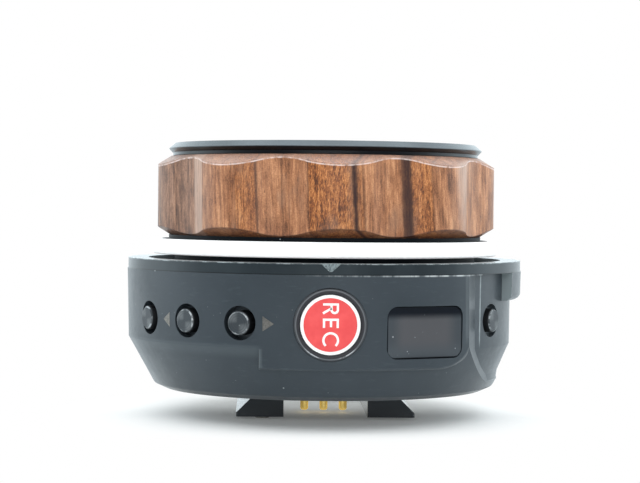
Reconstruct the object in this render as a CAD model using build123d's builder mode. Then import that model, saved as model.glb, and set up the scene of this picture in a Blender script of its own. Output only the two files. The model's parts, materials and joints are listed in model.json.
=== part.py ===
from build123d import *
from math import cos, radians, sin
import os

# Wireless follow focus hand unit: a scalloped wooden focus wheel on a round control housing,
# which slides into a bracket on two dovetail feet.
# Millimetres. The wheel turns about +Z. z = 0 is the underside of the feet, the front is -Y,
# and a "bearing" is an angle round the wheel axis, counted from the front towards +X.

# --- Clearances ---
running_clearance = 0.05  # shafts and buttons in their guides
fit_clearance = 0.05  # pieces that are seated in each other
press_clearance = 0.01  # pieces pressed together
seam_clearance = 0.1
screw_clearance = 0.1
part_clearance = 0.2  # between pieces that don't touch
cut_overrun = 1.0  # how far a cut runs past the surface it opens

# --- Dovetail feet ---
foot_height = 4.2
foot_length = 32.0
feet_width = 32.0  # across the tips of both feet
feet_gap = 15.0  # between the two feet
foot_lip = 0.7  # straight edge below each 45 degree flank
foot_corner = 0.8
foot_screw_front = 13.0  # from the front end of a foot
foot_screw_rear = 5.5  # from its rear end
foot_thread_depth = 2.8

# --- Housing, outside ---
rim_radius = 36.45
housing_height = 21.85  # from the flat underside to the rim
wall_lean = 0.3  # how much narrower the side wall is at the knee than at the rim
knee_drop = 12.55  # from the rim down to where the side wall turns into the lower taper
taper_depth = 4.75  # how far in the lower taper goes
taper_foot_height = 0.85
underside_inset = 1.9
knee_round = 0.7
bottom_round = 0.6
rim_chamfer = 0.2

# --- Front panel, which carries the side wall down over the taper ---
panel_margin = 1.65  # below the record button's surround
panel_left_x = -12.0
panel_edge_round = 0.6
panel_corner_round = 4.3
panel_join_height = 1.4  # how far the panel runs up behind the side wall

# --- Recess in the right-hand side wall ---
recess_depth = 1.95
recess_lean = 0.12
recess_knee_drop = 0.6
recess_toe_rise = 0.95  # above the taper's foot
recess_foot_step = 0.3  # how far its lower part leans out
recess_foot_rise = 1.9
recess_edge_bearing = 41.7  # where the recess's slanted side leaves the side wall
recess_slant = 19.5  # degrees between that side and the front-to-back direction
recess_reach = 16.0  # the slanted side is drawn this far past the wall

# --- Lug over the recess ---
lug_bearing = 90.0
lug_span = 48.0  # degrees
lug_height = 5.05
lug_round = 1.2

# --- Housing, inside ---
wall_thickness = 4.25
taper_wall = 2.0
cavity_knee_drop = 1.1
ledge_height = 3.2
ledge_width = 4.0
rim_wall = 2.95  # beside the flange of the bezel ring
carrier_seat_drop = 0.55  # from the rim down to the bearing carrier
boss_radius = 2.5
boss_height = 1.8
bezel_screw_count = 6
bezel_screw_inset = 2.3
first_bezel_screw_bearing = 30.0
board_boss_radius = 2.0
board_boss_height = 1.2

# --- Base plate ---
base_thickness = 1.6
base_margin = 2.0
base_chamfer = 0.2
base_screw_inset = 2.3
base_screw_count = 4
first_base_screw_bearing = 0.0

# --- Bezel ring with its index mark ---
bezel_inset = 0.15
bezel_height = 1.95
bezel_width = 3.7
bezel_chamfer = 0.3
bezel_flange_thickness = 1.0
bezel_flange_width = 4.3
index_width = 3.4
index_depth = 1.35
index_point_width = 0.5
index_inset = 2.2

# --- Bearing carrier and its two ball bearings ---
carrier_thickness = 2.0
carrier_sleeve_radius = 8.6
carrier_sleeve_round = 1.2
carrier_sleeve_drop = 0.4  # below the lower bearing
bearing_bore = 6.0
bearing_outside = 13.0
bearing_width = 3.5
bearing_web_bore = 10.6
race_thickness = 1.15
ball_radius = 0.95
ball_count = 8

# --- Wheel shaft ---
shaft_board_gap = 1.6  # between the board and the shaft's lower end
shaft_tail = 2.6  # below the lower bearing
shaft_shoulder_radius = 4.2
shaft_nose_radius = 2.5
shaft_nose_drop = 0.8  # below the top of the hub's boss
shaft_end_chamfer = 0.3
shaft_thread_depth = 6.5
clip_thickness = 0.6
clip_groove_depth = 0.5
clip_outer_radius = 5.0
clip_grip = 0.8  # how much narrower its slot is than the groove's floor
clip_eye_radius = 0.55
clip_eye_inset = 1.6
clip_eye_spread = 140.0  # degrees between the two eyes
magnet_radius = 1.6
magnet_depth = 1.5
magnet_proud = 0.2

# --- Wheel hub ---
drum_gap = 2.4  # between the bezel ring's bore and the hub's drum
skirt_gap = 0.5  # round and above the bezel ring's flange
hub_skirt_thickness = 1.5
hub_plate_inset = 1.3
hub_plate_thickness = 0.7
hub_web_thickness = 1.8
hub_boss_radius = 6.5
hub_boss_depth = 1.4
hub_boss_height = 3.2
hub_boss_round = 1.0
hub_wall_inset = 8.8
hub_wall_thickness = 1.8
lightening_hole_radius = 3.2
lightening_hole_count = 6
hub_screw_head_radius = 3.95
hub_screw_head_height = 1.5
hub_screw_length = 6.0
hub_screw_round = 0.4
hub_screw_socket_radius = 1.15
hub_screw_socket_depth = 1.1

# --- Marking ring ---
ring_gap = 0.9  # between the bezel ring's bore and the marking ring
ring_rise = 0.75  # above the bezel ring
ring_height = 2.75
ring_lip_thickness = 1.1
ring_edge_round = 0.25
ring_magnet_count = 6
ring_magnet_radius = 0.9
ring_magnet_height = 0.9

# --- Wooden grip ---
lobe_count = 9
lobe_bearing = 3.4  # the front lobe's middle
lobe_inset = 0.4  # inside the marking ring
lobe_depth = 2.2
lobe_share = 0.56  # of each pitch that a lobe takes
flank_round = 3.0
grip_height = 14.45
grip_top_inset = 0.5  # from the valleys to the top face
grip_top_bevel = 1.65  # height of the top bevel at a lobe
grip_bottom_inset = 0.4
grip_bottom_bevel = 1.6

# --- Top cap ---
cap_gap = 0.65  # over the grip, mostly filled by the cap's neck
cap_height = 1.75
cap_inset = 0.13  # inside the valleys
cap_lower_bevel_width = 0.62
cap_lower_bevel_height = 0.67
cap_band = 0.12
cap_top_bevel_width = 1.14
cap_neck_inset = 0.1
cap_neck_width = 2.2
cap_rim_width = 2.4
cap_rim_slope = 0.6
cap_dish_depth = 0.6
cap_spigot_depth = 1.8
cap_wall = 1.2
cap_groove_lip = 0.35
seal_thickness = 1.0

# --- End stop of the wheel ---
wheel_travel = 150.0  # degrees each way
stop_inset = 6.3  # inside the bezel ring's flange
stop_pin_radius = 1.0
stop_groove_depth = 1.1
stop_pin_bearing = 180.0

# --- Small push buttons ---
control_drop = 8.35  # from the rim down to the row of buttons
button_radius = 2.08
button_proud = 0.6
button_travel = 0.5
button_face_chamfer = 0.3
button_flange_radius = 2.7
button_flange_thickness = 0.6
button_nub_radius = 1.0
well_radius = 2.95
well_depth = 2.45  # inside the rim's radius
side_well_depth = 1.0  # inside the recess
mode_button_bearing = -60.0
back_button_bearing = -42.5
forward_button_bearing = -25.0
side_button_bearing = 57.7

# --- Record button ---
rec_surround_radius = 6.2
rec_surround_depth = 2.05  # its seat, inside the rim's radius
rec_surround_round = 0.42
rec_button_radius = 5.08
rec_disc_radius = 4.53
rec_disc_thickness = 0.35
rec_inset = 0.1  # the button's face, inside the rim's radius
rec_surround_proud = 0.1  # beyond the button's face
rec_rim = 0.15  # white rim above the red disc
rec_travel = 0.6
rec_stem_radius = 3.4
rec_flange_radius = 4.4
rec_flange_thickness = 1.0
rec_flange_gap = 0.4  # more than a part clearance behind the wall
rec_nub_radius = 1.5

# --- Display ---
display_bearing = 27.6
display_drop = 9.75  # from the rim down to its middle
window_width = 15.2
window_height = 9.0
window_corner = 1.9
window_inset = 1.1  # the window's face, inside the rim's radius
window_thickness = 1.2
window_ledge = 1.0
window_chamfer = 0.12
display_gap = 5.2  # from the window's back to the display's board
panel_glass_thickness = 1.4
panel_glass_width = 14.4
panel_glass_height = 9.6
panel_glass_corner = 0.3
display_board_width = 15.6
display_board_height = 10.2
board_corner = 0.5

# --- Boards, switches and the bracket that carries them ---
board_thickness = 1.2
board_margin = 1.8
board_screw_inset = 4.2
board_screw_bearings = (-125.0, -79.0, 45.0, 115.0)  # the middle two also hold the bracket
flex_inset = 5.0  # outside of the curved button boards, inside the cavity wall
flex_thickness = 0.8
flex_height = 6.0
left_flex_start = -68.0
left_flex_end = -17.0
right_flex_start = 50.0
right_flex_end = 65.4
switch_size = 4.4
switch_corner = 0.3
switch_depth = 1.9
switch_reach = 0.15  # how far a nub enters its switch at rest
switch_spare = 0.45  # below the nub of a pressed button
bracket_thickness = 1.2
bracket_headroom = 0.4
bracket_foot_start = -84.0
bracket_foot_height = 1.4
display_wall_inset = 1.0
rec_switch_size = 6.0
rec_switch_depth = 2.6
rec_board_inset = 6.2  # the record button's board, inside the cavity wall
rec_board_margin_x = 1.0
rec_board_margin_z = 0.5

# --- Components of the main board: x, y, length, width, height ---
component_sizes = (
    (0, 0, 3.0, 3.0, 0.9),
    (-9.0, -12.0, 7.0, 7.0, 1.0),
    (8.5, -13.0, 5.0, 4.0, 1.2),
    (14.0, -3.5, 4.0, 4.0, 1.8),
    (-10.0, 8.4, 3.0, 2.0, 1.0),
)

# --- Battery, radio and charging port ---
battery_sleeve_gap = 2.8  # behind the bearing carrier's sleeve
battery_rear_gap = 8.4
battery_end_gap = 2.2  # beside the screws of the main board
battery_headroom = 2.1
battery_round = 1.0
tray_wall = 0.6
tray_height = 4.0
radio_length = 10.0
radio_width = 8.0
radio_height = 2.0
radio_corner = 0.4
radio_chamfer = 0.3
radio_bracket_gap = 3.0
radio_y = 0.5
usb_bearing = 90.0
usb_rise = 11.8  # over the flat underside
usb_width = 8.94
usb_height = 3.2
usb_wall = 0.3
usb_depth = 7.4
usb_back = 1.0
usb_inset = 0.4  # mouth behind the recessed side wall
usb_tongue_thickness = 0.7
usb_tongue_gap = 1.2  # beside the tongue
usb_tongue_inset = 0.8
usb_board_width = 12.0
usb_board_depth = 6.6
usb_board_gap = 1.2  # inside the cavity wall
usb_post_radius = 1.4
usb_post_edge = 1.8  # from the middle of a post to the board's end

# --- Contact pins ---
pogo_pitch = 3.55
pogo_y = -4.0
pogo_radius = 0.75
pogo_nose_round = 0.45
pogo_collar_radius = 0.9
pogo_tip_z = 0.1
pogo_collar_height = 0.8
pogo_barrel_radius = 1.15
pogo_barrel_wall = 0.2
pogo_barrel_lip = 0.6
pogo_barrel_rise = 0.4  # above the underside of the block
pogo_barrel_gap = 0.7  # under the main board
pogo_tail_radius = 0.35
pogo_block_length = 11.2
pogo_block_width = 4.4
pogo_block_corner = 0.6
pogo_block_drop = 2.0  # below the flat underside
pogo_flange = 0.8
pogo_flange_height = 1.2
pogo_spring_turns = 7
spring_wire = 0.2
spring_gap = 0.1

# --- Locking pin in the left foot ---
lock_flank_inset = 1.2  # inside the top of the foot's flank
lock_front = 3.4  # from the front end of the foot
lock_radius = 1.4
lock_nose_round = 0.35
lock_proud = 0.5
lock_collar_radius = 1.8
lock_collar_height = 0.9
lock_collar_z = 1.3
lock_spring_pocket = 0.8  # into the base plate
lock_spring_turns = 5

# --- Screws ---
small_screw_radius = 0.8
small_head_radius = 1.4
small_head_height = 0.9
m2_radius = 1.0
m2_head_radius = 1.9
m2_flat_head_radius = 1.8
m2_head_height = 1.2
m3_radius = 1.5
driver_radius = 0.65
driver_depth = 0.6
bezel_screw_grip = 1.5  # thread in the housing's boss
base_screw_grip = 1.4
thread_end_gap = 0.3
pan_round_share = 0.33  # of a pan head's height that its round takes

# --- Worked out: heights ---
floor_z = foot_height
taper_foot_z = floor_z + taper_foot_height
rim_z = floor_z + housing_height
knee_z = rim_z - knee_drop
recess_knee_z = knee_z - recess_knee_drop
recess_toe_z = taper_foot_z + recess_toe_rise
recess_low_z = recess_toe_z + recess_foot_rise
lug_bottom_z = rim_z - lug_height
cavity_knee_z = knee_z - cavity_knee_drop
base_top_z = floor_z + base_thickness
ledge_top_z = floor_z + ledge_height
board_bottom_z = ledge_top_z + board_boss_height
board_top_z = board_bottom_z + board_thickness
flange_bottom_z = rim_z - carrier_seat_drop
flange_top_z = flange_bottom_z + bezel_flange_thickness
bezel_top_z = rim_z + bezel_height
carrier_top_z = flange_bottom_z
carrier_bottom_z = carrier_top_z - carrier_thickness
boss_bottom_z = carrier_bottom_z - boss_height
shaft_end_z = board_top_z + shaft_board_gap
lower_bearing_z = shaft_end_z + shaft_tail
upper_bearing_z = carrier_bottom_z - bearing_width
ring_bottom_z = bezel_top_z + ring_rise
hub_skirt_bottom_z = flange_top_z + skirt_gap
hub_step_z = ring_bottom_z + ring_lip_thickness + fit_clearance
hub_drum_top_z = ring_bottom_z + ring_height
hub_plate_top_z = hub_drum_top_z + hub_plate_thickness
hub_web_bottom_z = hub_plate_top_z - hub_web_thickness
hub_boss_bottom_z = hub_web_bottom_z - hub_boss_depth
hub_boss_top_z = hub_plate_top_z + hub_boss_height
shaft_nose_top_z = hub_boss_top_z - shaft_nose_drop
grip_top_z = hub_plate_top_z + grip_height
cap_bottom_z = grip_top_z + cap_gap
cap_band_bottom_z = cap_bottom_z + cap_lower_bevel_height
cap_band_top_z = cap_band_bottom_z + cap_band
cap_top_z = cap_bottom_z + cap_height
button_z = rim_z - control_drop
rec_z = rim_z - control_drop
panel_bottom_z = rec_z - rec_surround_radius - panel_margin
panel_top_z = knee_z + panel_join_height
display_z = rim_z - display_drop
usb_z = floor_z + usb_rise
pogo_block_bottom_z = floor_z - pogo_block_drop
pogo_barrel_bottom_z = pogo_block_bottom_z + pogo_barrel_rise
pogo_barrel_top_z = board_bottom_z - pogo_barrel_gap

# --- Worked out: radii and distances from the wheel axis ---
knee_radius = rim_radius - wall_lean
taper_foot_radius = knee_radius - taper_depth
bottom_radius = taper_foot_radius - underside_inset
recess_radius = rim_radius - recess_depth
recess_knee_radius = recess_radius - recess_lean
taper_slope = taper_depth / (knee_z - taper_foot_z)
recess_toe_radius = taper_foot_radius + taper_slope * recess_toe_rise
recess_low_radius = recess_toe_radius + recess_foot_step
cavity_radius = rim_radius - wall_thickness
cavity_foot_radius = taper_foot_radius - taper_wall
base_radius = bottom_radius - base_margin
base_screw_circle = base_radius - base_screw_inset
ledge_inner_radius = base_radius - ledge_width
rim_bore_radius = rim_radius - rim_wall
bezel_screw_circle = cavity_radius - bezel_screw_inset
board_radius = cavity_foot_radius - board_margin
board_screw_circle = cavity_foot_radius - board_screw_inset
flex_radius = cavity_radius - flex_inset
bezel_radius = rim_radius - bezel_inset
bezel_bore_radius = bezel_radius - bezel_width
bezel_flange_bore = bezel_bore_radius - bezel_flange_width
stop_circle = bezel_flange_bore - stop_inset
hub_drum_radius = bezel_bore_radius - drum_gap
hub_skirt_radius = bezel_flange_bore - skirt_gap
hub_plate_radius = hub_drum_radius - hub_plate_inset
hub_wall_radius = hub_drum_radius - hub_wall_inset
ring_radius = bezel_bore_radius - ring_gap
lobe_radius = ring_radius - lobe_inset
valley_radius = lobe_radius - lobe_depth
grip_top_radius = valley_radius - grip_top_inset
grip_bottom_radius = valley_radius - grip_bottom_inset
cap_radius = valley_radius - cap_inset
cap_lower_radius = cap_radius - cap_lower_bevel_width
cap_top_radius = cap_radius - cap_top_bevel_width
cap_neck_radius = cap_lower_radius - cap_neck_inset
cap_spigot_radius = hub_wall_radius - hub_wall_thickness - seam_clearance
shaft_radius = bearing_bore / 2
well_floor_radius = rim_radius - well_depth
side_well_floor_radius = recess_radius - side_well_depth
rec_surround_floor = rim_radius - rec_surround_depth
rec_face = rim_radius - rec_inset
rec_guide_radius = rec_stem_radius + running_clearance
rec_board_distance = cavity_radius - rec_board_inset
window_face = rim_radius - window_inset
window_seat = window_face - window_thickness
sight_width = window_width - 2 * window_ledge
sight_height = window_height - 2 * window_ledge
display_board_face = window_seat - display_gap
bracket_radius = flex_radius - flex_thickness

# --- Worked out: feet and battery, in plan ---
feet_half_width = feet_width / 2
neck_half_width = feet_half_width - (foot_height - foot_lip)
foot_screw_x = (feet_gap / 2 + neck_half_width) / 2
foot_screw_ys = (foot_screw_front - foot_length / 2, foot_length / 2 - foot_screw_rear)
lock_x = lock_flank_inset - neck_half_width
lock_y = lock_front - foot_length / 2
battery_front_y = carrier_sleeve_radius + battery_sleeve_gap
battery_width = cavity_radius - battery_rear_gap - battery_front_y
battery_height = carrier_bottom_z - battery_headroom - board_top_z - tray_wall
wall_slope = wall_lean / (rim_z - knee_z)

# --- Worked out: screw places, in plan ---


def outward(bearing):
    """The level direction away from the wheel axis at a bearing."""
    return Vector(sin(radians(bearing)), -cos(radians(bearing)), 0)


def at_bearing(bearing, distance):
    """A point in plan, as (x, y)."""
    out = outward(bearing)
    return (out.X * distance, out.Y * distance)


def bearings(count, first):
    """Evenly spaced bearings round the wheel axis."""
    return [first + i * 360 / count for i in range(count)]


def lifted(points, height):
    """Points in plan, at one height."""
    return [(x, y, height) for x, y in points]


def flipped(points, height):
    """Places that face down, at one height."""
    return [Location((x, y, height), (180, 0, 0)) for x, y in points]


bezel_screw_bearings = bearings(bezel_screw_count, first_bezel_screw_bearing)
base_screw_bearings = bearings(base_screw_count, first_base_screw_bearing)
bezel_screw_points = [at_bearing(bearing, bezel_screw_circle) for bearing in bezel_screw_bearings]
base_screw_points = [at_bearing(bearing, base_screw_circle) for bearing in base_screw_bearings]
board_screw_points = [at_bearing(bearing, board_screw_circle) for bearing in board_screw_bearings]
foot_screw_points = [(x, y) for x in (-foot_screw_x, foot_screw_x) for y in foot_screw_ys]
battery_end_gaps = small_head_radius + battery_end_gap + tray_wall + seam_clearance
battery_length = 2 * (abs(board_screw_points[0][0]) - battery_end_gaps)
radio_x = -(bracket_radius - 2 * bracket_thickness - radio_bracket_gap - radio_width / 2)


def section_plane(bearing):
    """The upright half plane through the wheel axis at a bearing: x is the radius, y is the height."""
    out = outward(bearing)
    return Plane(origin=(0, 0, 0), x_dir=out, z_dir=(out.Y, -out.X, 0))


def wall_plane(bearing, distance, height):
    """A plane that faces outward: x runs round the wall, y runs up."""
    out = outward(bearing)
    return Plane(origin=out * distance + Vector(0, 0, height), x_dir=(-out.Y, out.X, 0), z_dir=out)


def nearest(items, *point):
    """The vertex or edge closest to a point."""
    return items.sort_by_distance(Vector(*point))[0]


def wall_radius(height):
    """Outside radius of the side wall at a height."""
    return knee_radius + wall_slope * (height - knee_z)


# --- Housing ---

# The slanted side of the recess, and the same line extended forward and back in plan
slant = Vector(sin(radians(recess_slant)), cos(radians(recess_slant)), 0)
slant_start = outward(recess_edge_bearing) * rim_radius
slant_front = slant_start - slant * recess_reach
slant_back = slant_start - slant * slant_start.dot(slant)  # the point nearest the wheel axis

with BuildPart() as recess_tool:
    with BuildSketch(Plane.XZ):
        with BuildLine():
            Polyline(
                (recess_toe_radius, recess_toe_z),
                (recess_low_radius, recess_low_z),
                (recess_knee_radius, recess_knee_z),
                (recess_radius, rim_z + cut_overrun),
                (rim_radius + cut_overrun, rim_z + cut_overrun),
                (rim_radius + cut_overrun, recess_toe_z),
                close=True,
            )
        face = make_face()
        fillet(nearest(face.vertices(), recess_knee_radius, 0, recess_knee_z), knee_round)
        fillet(nearest(face.vertices(), recess_low_radius, 0, recess_low_z), knee_round)
    revolve()
    with BuildSketch(Plane.XY):
        with BuildLine():
            Polyline(
                (slant_front.X, slant_front.Y),
                (slant_back.X, slant_back.Y),
                (slant_back.X / 2, 0),
                (slant_back.X, -slant_back.Y),
                (slant_front.X, -slant_front.Y),
                (rim_radius + 2 * cut_overrun, -slant_front.Y),
                (rim_radius + 2 * cut_overrun, slant_front.Y),
                close=True,
            )
        make_face()
    extrude(amount=rim_z + 2 * cut_overrun, mode=Mode.INTERSECT)

panel_round = min(panel_corner_round, panel_top_z - panel_bottom_z - panel_edge_round)

with BuildPart() as front_panel:
    with BuildSketch(Plane.XZ):
        with BuildLine():
            Polyline(
                (cavity_radius, panel_bottom_z),
                (wall_radius(panel_bottom_z), panel_bottom_z),
                (wall_radius(panel_top_z), panel_top_z),
                (cavity_radius, panel_top_z),
                close=True,
            )
        make_face()
    revolve()
    with BuildSketch(Plane.XY):
        with BuildLine():
            Polyline(
                (panel_left_x, slant_front.Y),
                (slant_front.X, slant_front.Y),
                (slant_back.X, slant_back.Y),
                (panel_left_x, slant_back.Y),
                close=True,
            )
        make_face()
    extrude(amount=rim_z, mode=Mode.INTERSECT)
    slanted_edges = front_panel.edges().filter_by(Axis(slant_start, slant))
    fillet(slanted_edges.sort_by(Axis.Z)[0], panel_round)
    outline = nearest(front_panel.faces(), 0, -2 * knee_radius, knee_z).edges()
    fillet(outline.filter_by(lambda edge: edge.center().Z < panel_top_z - seam_clearance), panel_edge_round)

with BuildPart() as lug:
    with BuildSketch(section_plane(lug_bearing - lug_span / 2)):
        with BuildLine():
            Polyline(
                (rim_bore_radius, lug_bottom_z),
                (wall_radius(lug_bottom_z), lug_bottom_z),
                (wall_radius(rim_z), rim_z),
                (rim_bore_radius, rim_z),
                close=True,
            )
        make_face()
    revolve(revolution_arc=lug_span)
    beyond = outward(lug_bearing) * 2 * rim_radius
    fillet(nearest(lug.faces().sort_by(Axis.Z)[0].edges(), beyond.X, beyond.Y, lug_bottom_z), lug_round)

with BuildPart() as housing:
    # Outside
    with BuildSketch(Plane.XZ):
        with BuildLine():
            Polyline(
                (0, floor_z),
                (bottom_radius, floor_z),
                (taper_foot_radius, taper_foot_z),
                (knee_radius, knee_z),
                (rim_radius, rim_z),
                (0, rim_z),
                close=True,
            )
        face = make_face()
        fillet(nearest(face.vertices(), knee_radius, 0, knee_z), knee_round)
        fillet(nearest(face.vertices(), taper_foot_radius, 0, taper_foot_z), bottom_round)
        fillet(nearest(face.vertices(), bottom_radius, 0, floor_z), bottom_round)
        chamfer(nearest(face.vertices(), rim_radius, 0, rim_z), rim_chamfer)
    revolve()
    add(recess_tool.part, mode=Mode.SUBTRACT)
    add(front_panel.part)
    add(lug.part)
    # Inside
    with BuildSketch(Plane.XZ):
        with BuildLine():
            Polyline(
                (0, floor_z),
                (base_radius + seam_clearance, floor_z),
                (base_radius + seam_clearance, base_top_z),
                (ledge_inner_radius, base_top_z),
                (ledge_inner_radius, ledge_top_z),
                (cavity_foot_radius, ledge_top_z),
                (cavity_radius, cavity_knee_z),
                (cavity_radius, flange_bottom_z - seam_clearance),
                (rim_bore_radius, flange_bottom_z - seam_clearance),
                (rim_bore_radius, rim_z),
                (0, rim_z),
                close=True,
            )
        make_face()
    revolve(mode=Mode.SUBTRACT)
    # Bosses under the bearing carrier
    with BuildSketch(Plane.XY.offset(boss_bottom_z)):
        with Locations(*bezel_screw_points):
            Circle(boss_radius)
    extrude(amount=boss_height)
    with Locations(*lifted(bezel_screw_points, carrier_bottom_z)):
        Hole(m2_radius, depth=boss_height)
    # Bosses for the main board, with the base plate's screw holes between them
    with BuildSketch(Plane.XY.offset(ledge_top_z)):
        with Locations(*board_screw_points):
            Circle(board_boss_radius)
    extrude(amount=board_boss_height)
    with Locations(*lifted(board_screw_points, board_bottom_z)):
        Hole(small_screw_radius, depth=board_boss_height + thread_end_gap)
    with Locations(*lifted(base_screw_points, ledge_top_z)):
        Hole(small_screw_radius, depth=ledge_top_z - base_top_z)
    # Wells and guide bores of the small buttons
    for bearing, floor_radius in (
        (mode_button_bearing, well_floor_radius),
        (back_button_bearing, well_floor_radius),
        (forward_button_bearing, well_floor_radius),
        (side_button_bearing, side_well_floor_radius),
    ):
        with BuildSketch(wall_plane(bearing, floor_radius, button_z)):
            Circle(well_radius)
        extrude(amount=rim_radius - floor_radius + cut_overrun, mode=Mode.SUBTRACT)
        with BuildSketch(wall_plane(bearing, floor_radius + cut_overrun, button_z)):
            Circle(button_radius + running_clearance)
        extrude(amount=-(floor_radius - cavity_radius + 2 * cut_overrun), mode=Mode.SUBTRACT)
    # Seat and guide bore of the record button
    with BuildSketch(wall_plane(0, rec_surround_floor, rec_z)):
        Circle(rec_surround_radius + fit_clearance)
    extrude(amount=rim_radius - rec_surround_floor + cut_overrun, mode=Mode.SUBTRACT)
    with BuildSketch(wall_plane(0, rec_surround_floor + cut_overrun, rec_z)):
        Circle(rec_guide_radius)
    extrude(amount=-(rec_surround_floor - cavity_radius + 2 * cut_overrun), mode=Mode.SUBTRACT)
    # Seat of the display window, with a smaller opening behind it
    with BuildSketch(wall_plane(display_bearing, window_seat, display_z)):
        RectangleRounded(window_width, window_height, window_corner)
    extrude(amount=rim_radius - window_seat + cut_overrun, mode=Mode.SUBTRACT)
    with BuildSketch(wall_plane(display_bearing, window_seat + cut_overrun, display_z)):
        RectangleRounded(sight_width, sight_height, window_corner - window_ledge)
    extrude(amount=-(window_seat - cavity_radius + 2 * cut_overrun), mode=Mode.SUBTRACT)
    # Mouth of the charging port
    with BuildSketch(wall_plane(usb_bearing, cavity_radius - cut_overrun, usb_z)):
        SlotOverall(usb_width + 2 * seam_clearance, usb_height + 2 * seam_clearance)
    extrude(amount=wall_thickness + 2 * cut_overrun, mode=Mode.SUBTRACT)
housing.part.label = "housing"

# --- Base plate, with its feet ---

with BuildPart() as base_plate:
    with BuildSketch(Plane.XY.offset(floor_z)):
        Circle(base_radius)
    extrude(amount=base_thickness)
    chamfer(base_plate.edges().sort_by(Axis.Z)[0], base_chamfer)
    # Countersunk screws from below
    with Locations(*flipped(base_screw_points, floor_z)):
        CounterSinkHole(
            small_screw_radius + screw_clearance,
            small_head_radius + screw_clearance,
            depth=base_thickness,
        )
    with Locations(*lifted(foot_screw_points, base_top_z)):
        Hole(m2_radius + screw_clearance, depth=base_thickness)
    with BuildSketch(Plane.XY.offset(floor_z)):
        with Locations((0, pogo_y)):
            Rectangle(pogo_block_length + 2 * fit_clearance, pogo_block_width + 2 * fit_clearance)
    extrude(amount=base_thickness, mode=Mode.SUBTRACT)
    with BuildSketch(Plane.XY.offset(floor_z)):
        with Locations((lock_x, lock_y)):
            Circle(lock_collar_radius + part_clearance)
    extrude(amount=lock_spring_pocket, mode=Mode.SUBTRACT)
base_plate.part.label = "base_plate"


def dovetail_foot(side):
    """One foot: its outer flank leans out at 45 degrees down to a short straight lip."""
    with BuildPart() as foot:
        with BuildSketch(Plane.XZ.offset(-foot_length / 2)):
            with BuildLine():
                Polyline(
                    (side * feet_gap / 2, 0),
                    (side * feet_half_width, 0),
                    (side * feet_half_width, foot_lip),
                    (side * neck_half_width, foot_height),
                    (side * feet_gap / 2, foot_height),
                    close=True,
                )
            make_face()
        extrude(amount=foot_length)
        tips = foot.edges().filter_by(Axis.Z).sort_by(Axis.X)
        fillet(tips[-2:] if side > 0 else tips[:2], foot_corner)
        with Locations(*[(side * foot_screw_x, y, foot_height) for y in foot_screw_ys]):
            Hole(m2_radius, depth=foot_thread_depth)
        if side < 0:
            with Locations((lock_x, lock_y, foot_height)):
                Hole(lock_collar_radius + part_clearance, depth=foot_height - lock_collar_z)
                Hole(lock_radius + running_clearance, depth=foot_height)
    return foot.part


dovetail_foot_left = dovetail_foot(-1)
dovetail_foot_left.label = "dovetail_foot_left"
dovetail_foot_right = dovetail_foot(1)
dovetail_foot_right.label = "dovetail_foot_right"

# --- Bezel ring and index mark ---


def index_outline(clearance):
    """The index mark seen from the front: a wide top that narrows to a blunt point."""
    half = index_width / 2 + clearance
    point = index_point_width / 2 + clearance / 2
    low = bezel_top_z - index_depth - clearance
    return [(-half, bezel_top_z), (-point, low), (point, low), (half, bezel_top_z)]


with BuildPart() as bezel_ring:
    with BuildSketch(Plane.XZ):
        with BuildLine():
            Polyline(
                (bezel_flange_bore, flange_bottom_z),
                (rim_bore_radius - fit_clearance, flange_bottom_z),
                (rim_bore_radius - fit_clearance, rim_z),
                (bezel_radius, rim_z),
                (bezel_radius, bezel_top_z),
                (bezel_bore_radius, bezel_top_z),
                (bezel_bore_radius, flange_top_z),
                (bezel_flange_bore, flange_top_z),
                close=True,
            )
        face = make_face()
        chamfer(nearest(face.vertices(), bezel_radius, 0, bezel_top_z), bezel_chamfer)
        chamfer(nearest(face.vertices(), bezel_bore_radius, 0, bezel_top_z), bezel_chamfer / 2)
        chamfer(nearest(face.vertices(), bezel_radius, 0, rim_z), rim_chamfer)
    revolve()
    with BuildSketch(Plane.XZ.offset(bezel_radius + cut_overrun)):
        with BuildLine():
            Polyline(*index_outline(fit_clearance), close=True)
        make_face()
    extrude(amount=-(index_inset + cut_overrun), mode=Mode.SUBTRACT)
    with Locations(*lifted(bezel_screw_points, flange_top_z)):
        CounterSinkHole(
            m2_radius + screw_clearance,
            m2_flat_head_radius + screw_clearance,
            depth=bezel_flange_thickness,
        )
bezel_ring.part.label = "bezel_ring"

with BuildPart() as index_marker:
    with BuildSketch(Plane.XZ.offset(bezel_radius + cut_overrun)):
        with BuildLine():
            Polyline(*index_outline(0), close=True)
        make_face()
    extrude(amount=-(index_inset + cut_overrun - fit_clearance))
    with BuildSketch(Plane.XY):
        Circle(bezel_radius + fit_clearance)
    extrude(amount=bezel_top_z, mode=Mode.INTERSECT)
index_marker.part.label = "index_marker"

# --- Bearing carrier ---

groove_half_width = stop_pin_radius + part_clearance
bearing_seat_radius = bearing_outside / 2 + fit_clearance / 2
carrier_sleeve_bottom_z = lower_bearing_z - carrier_sleeve_drop

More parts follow.
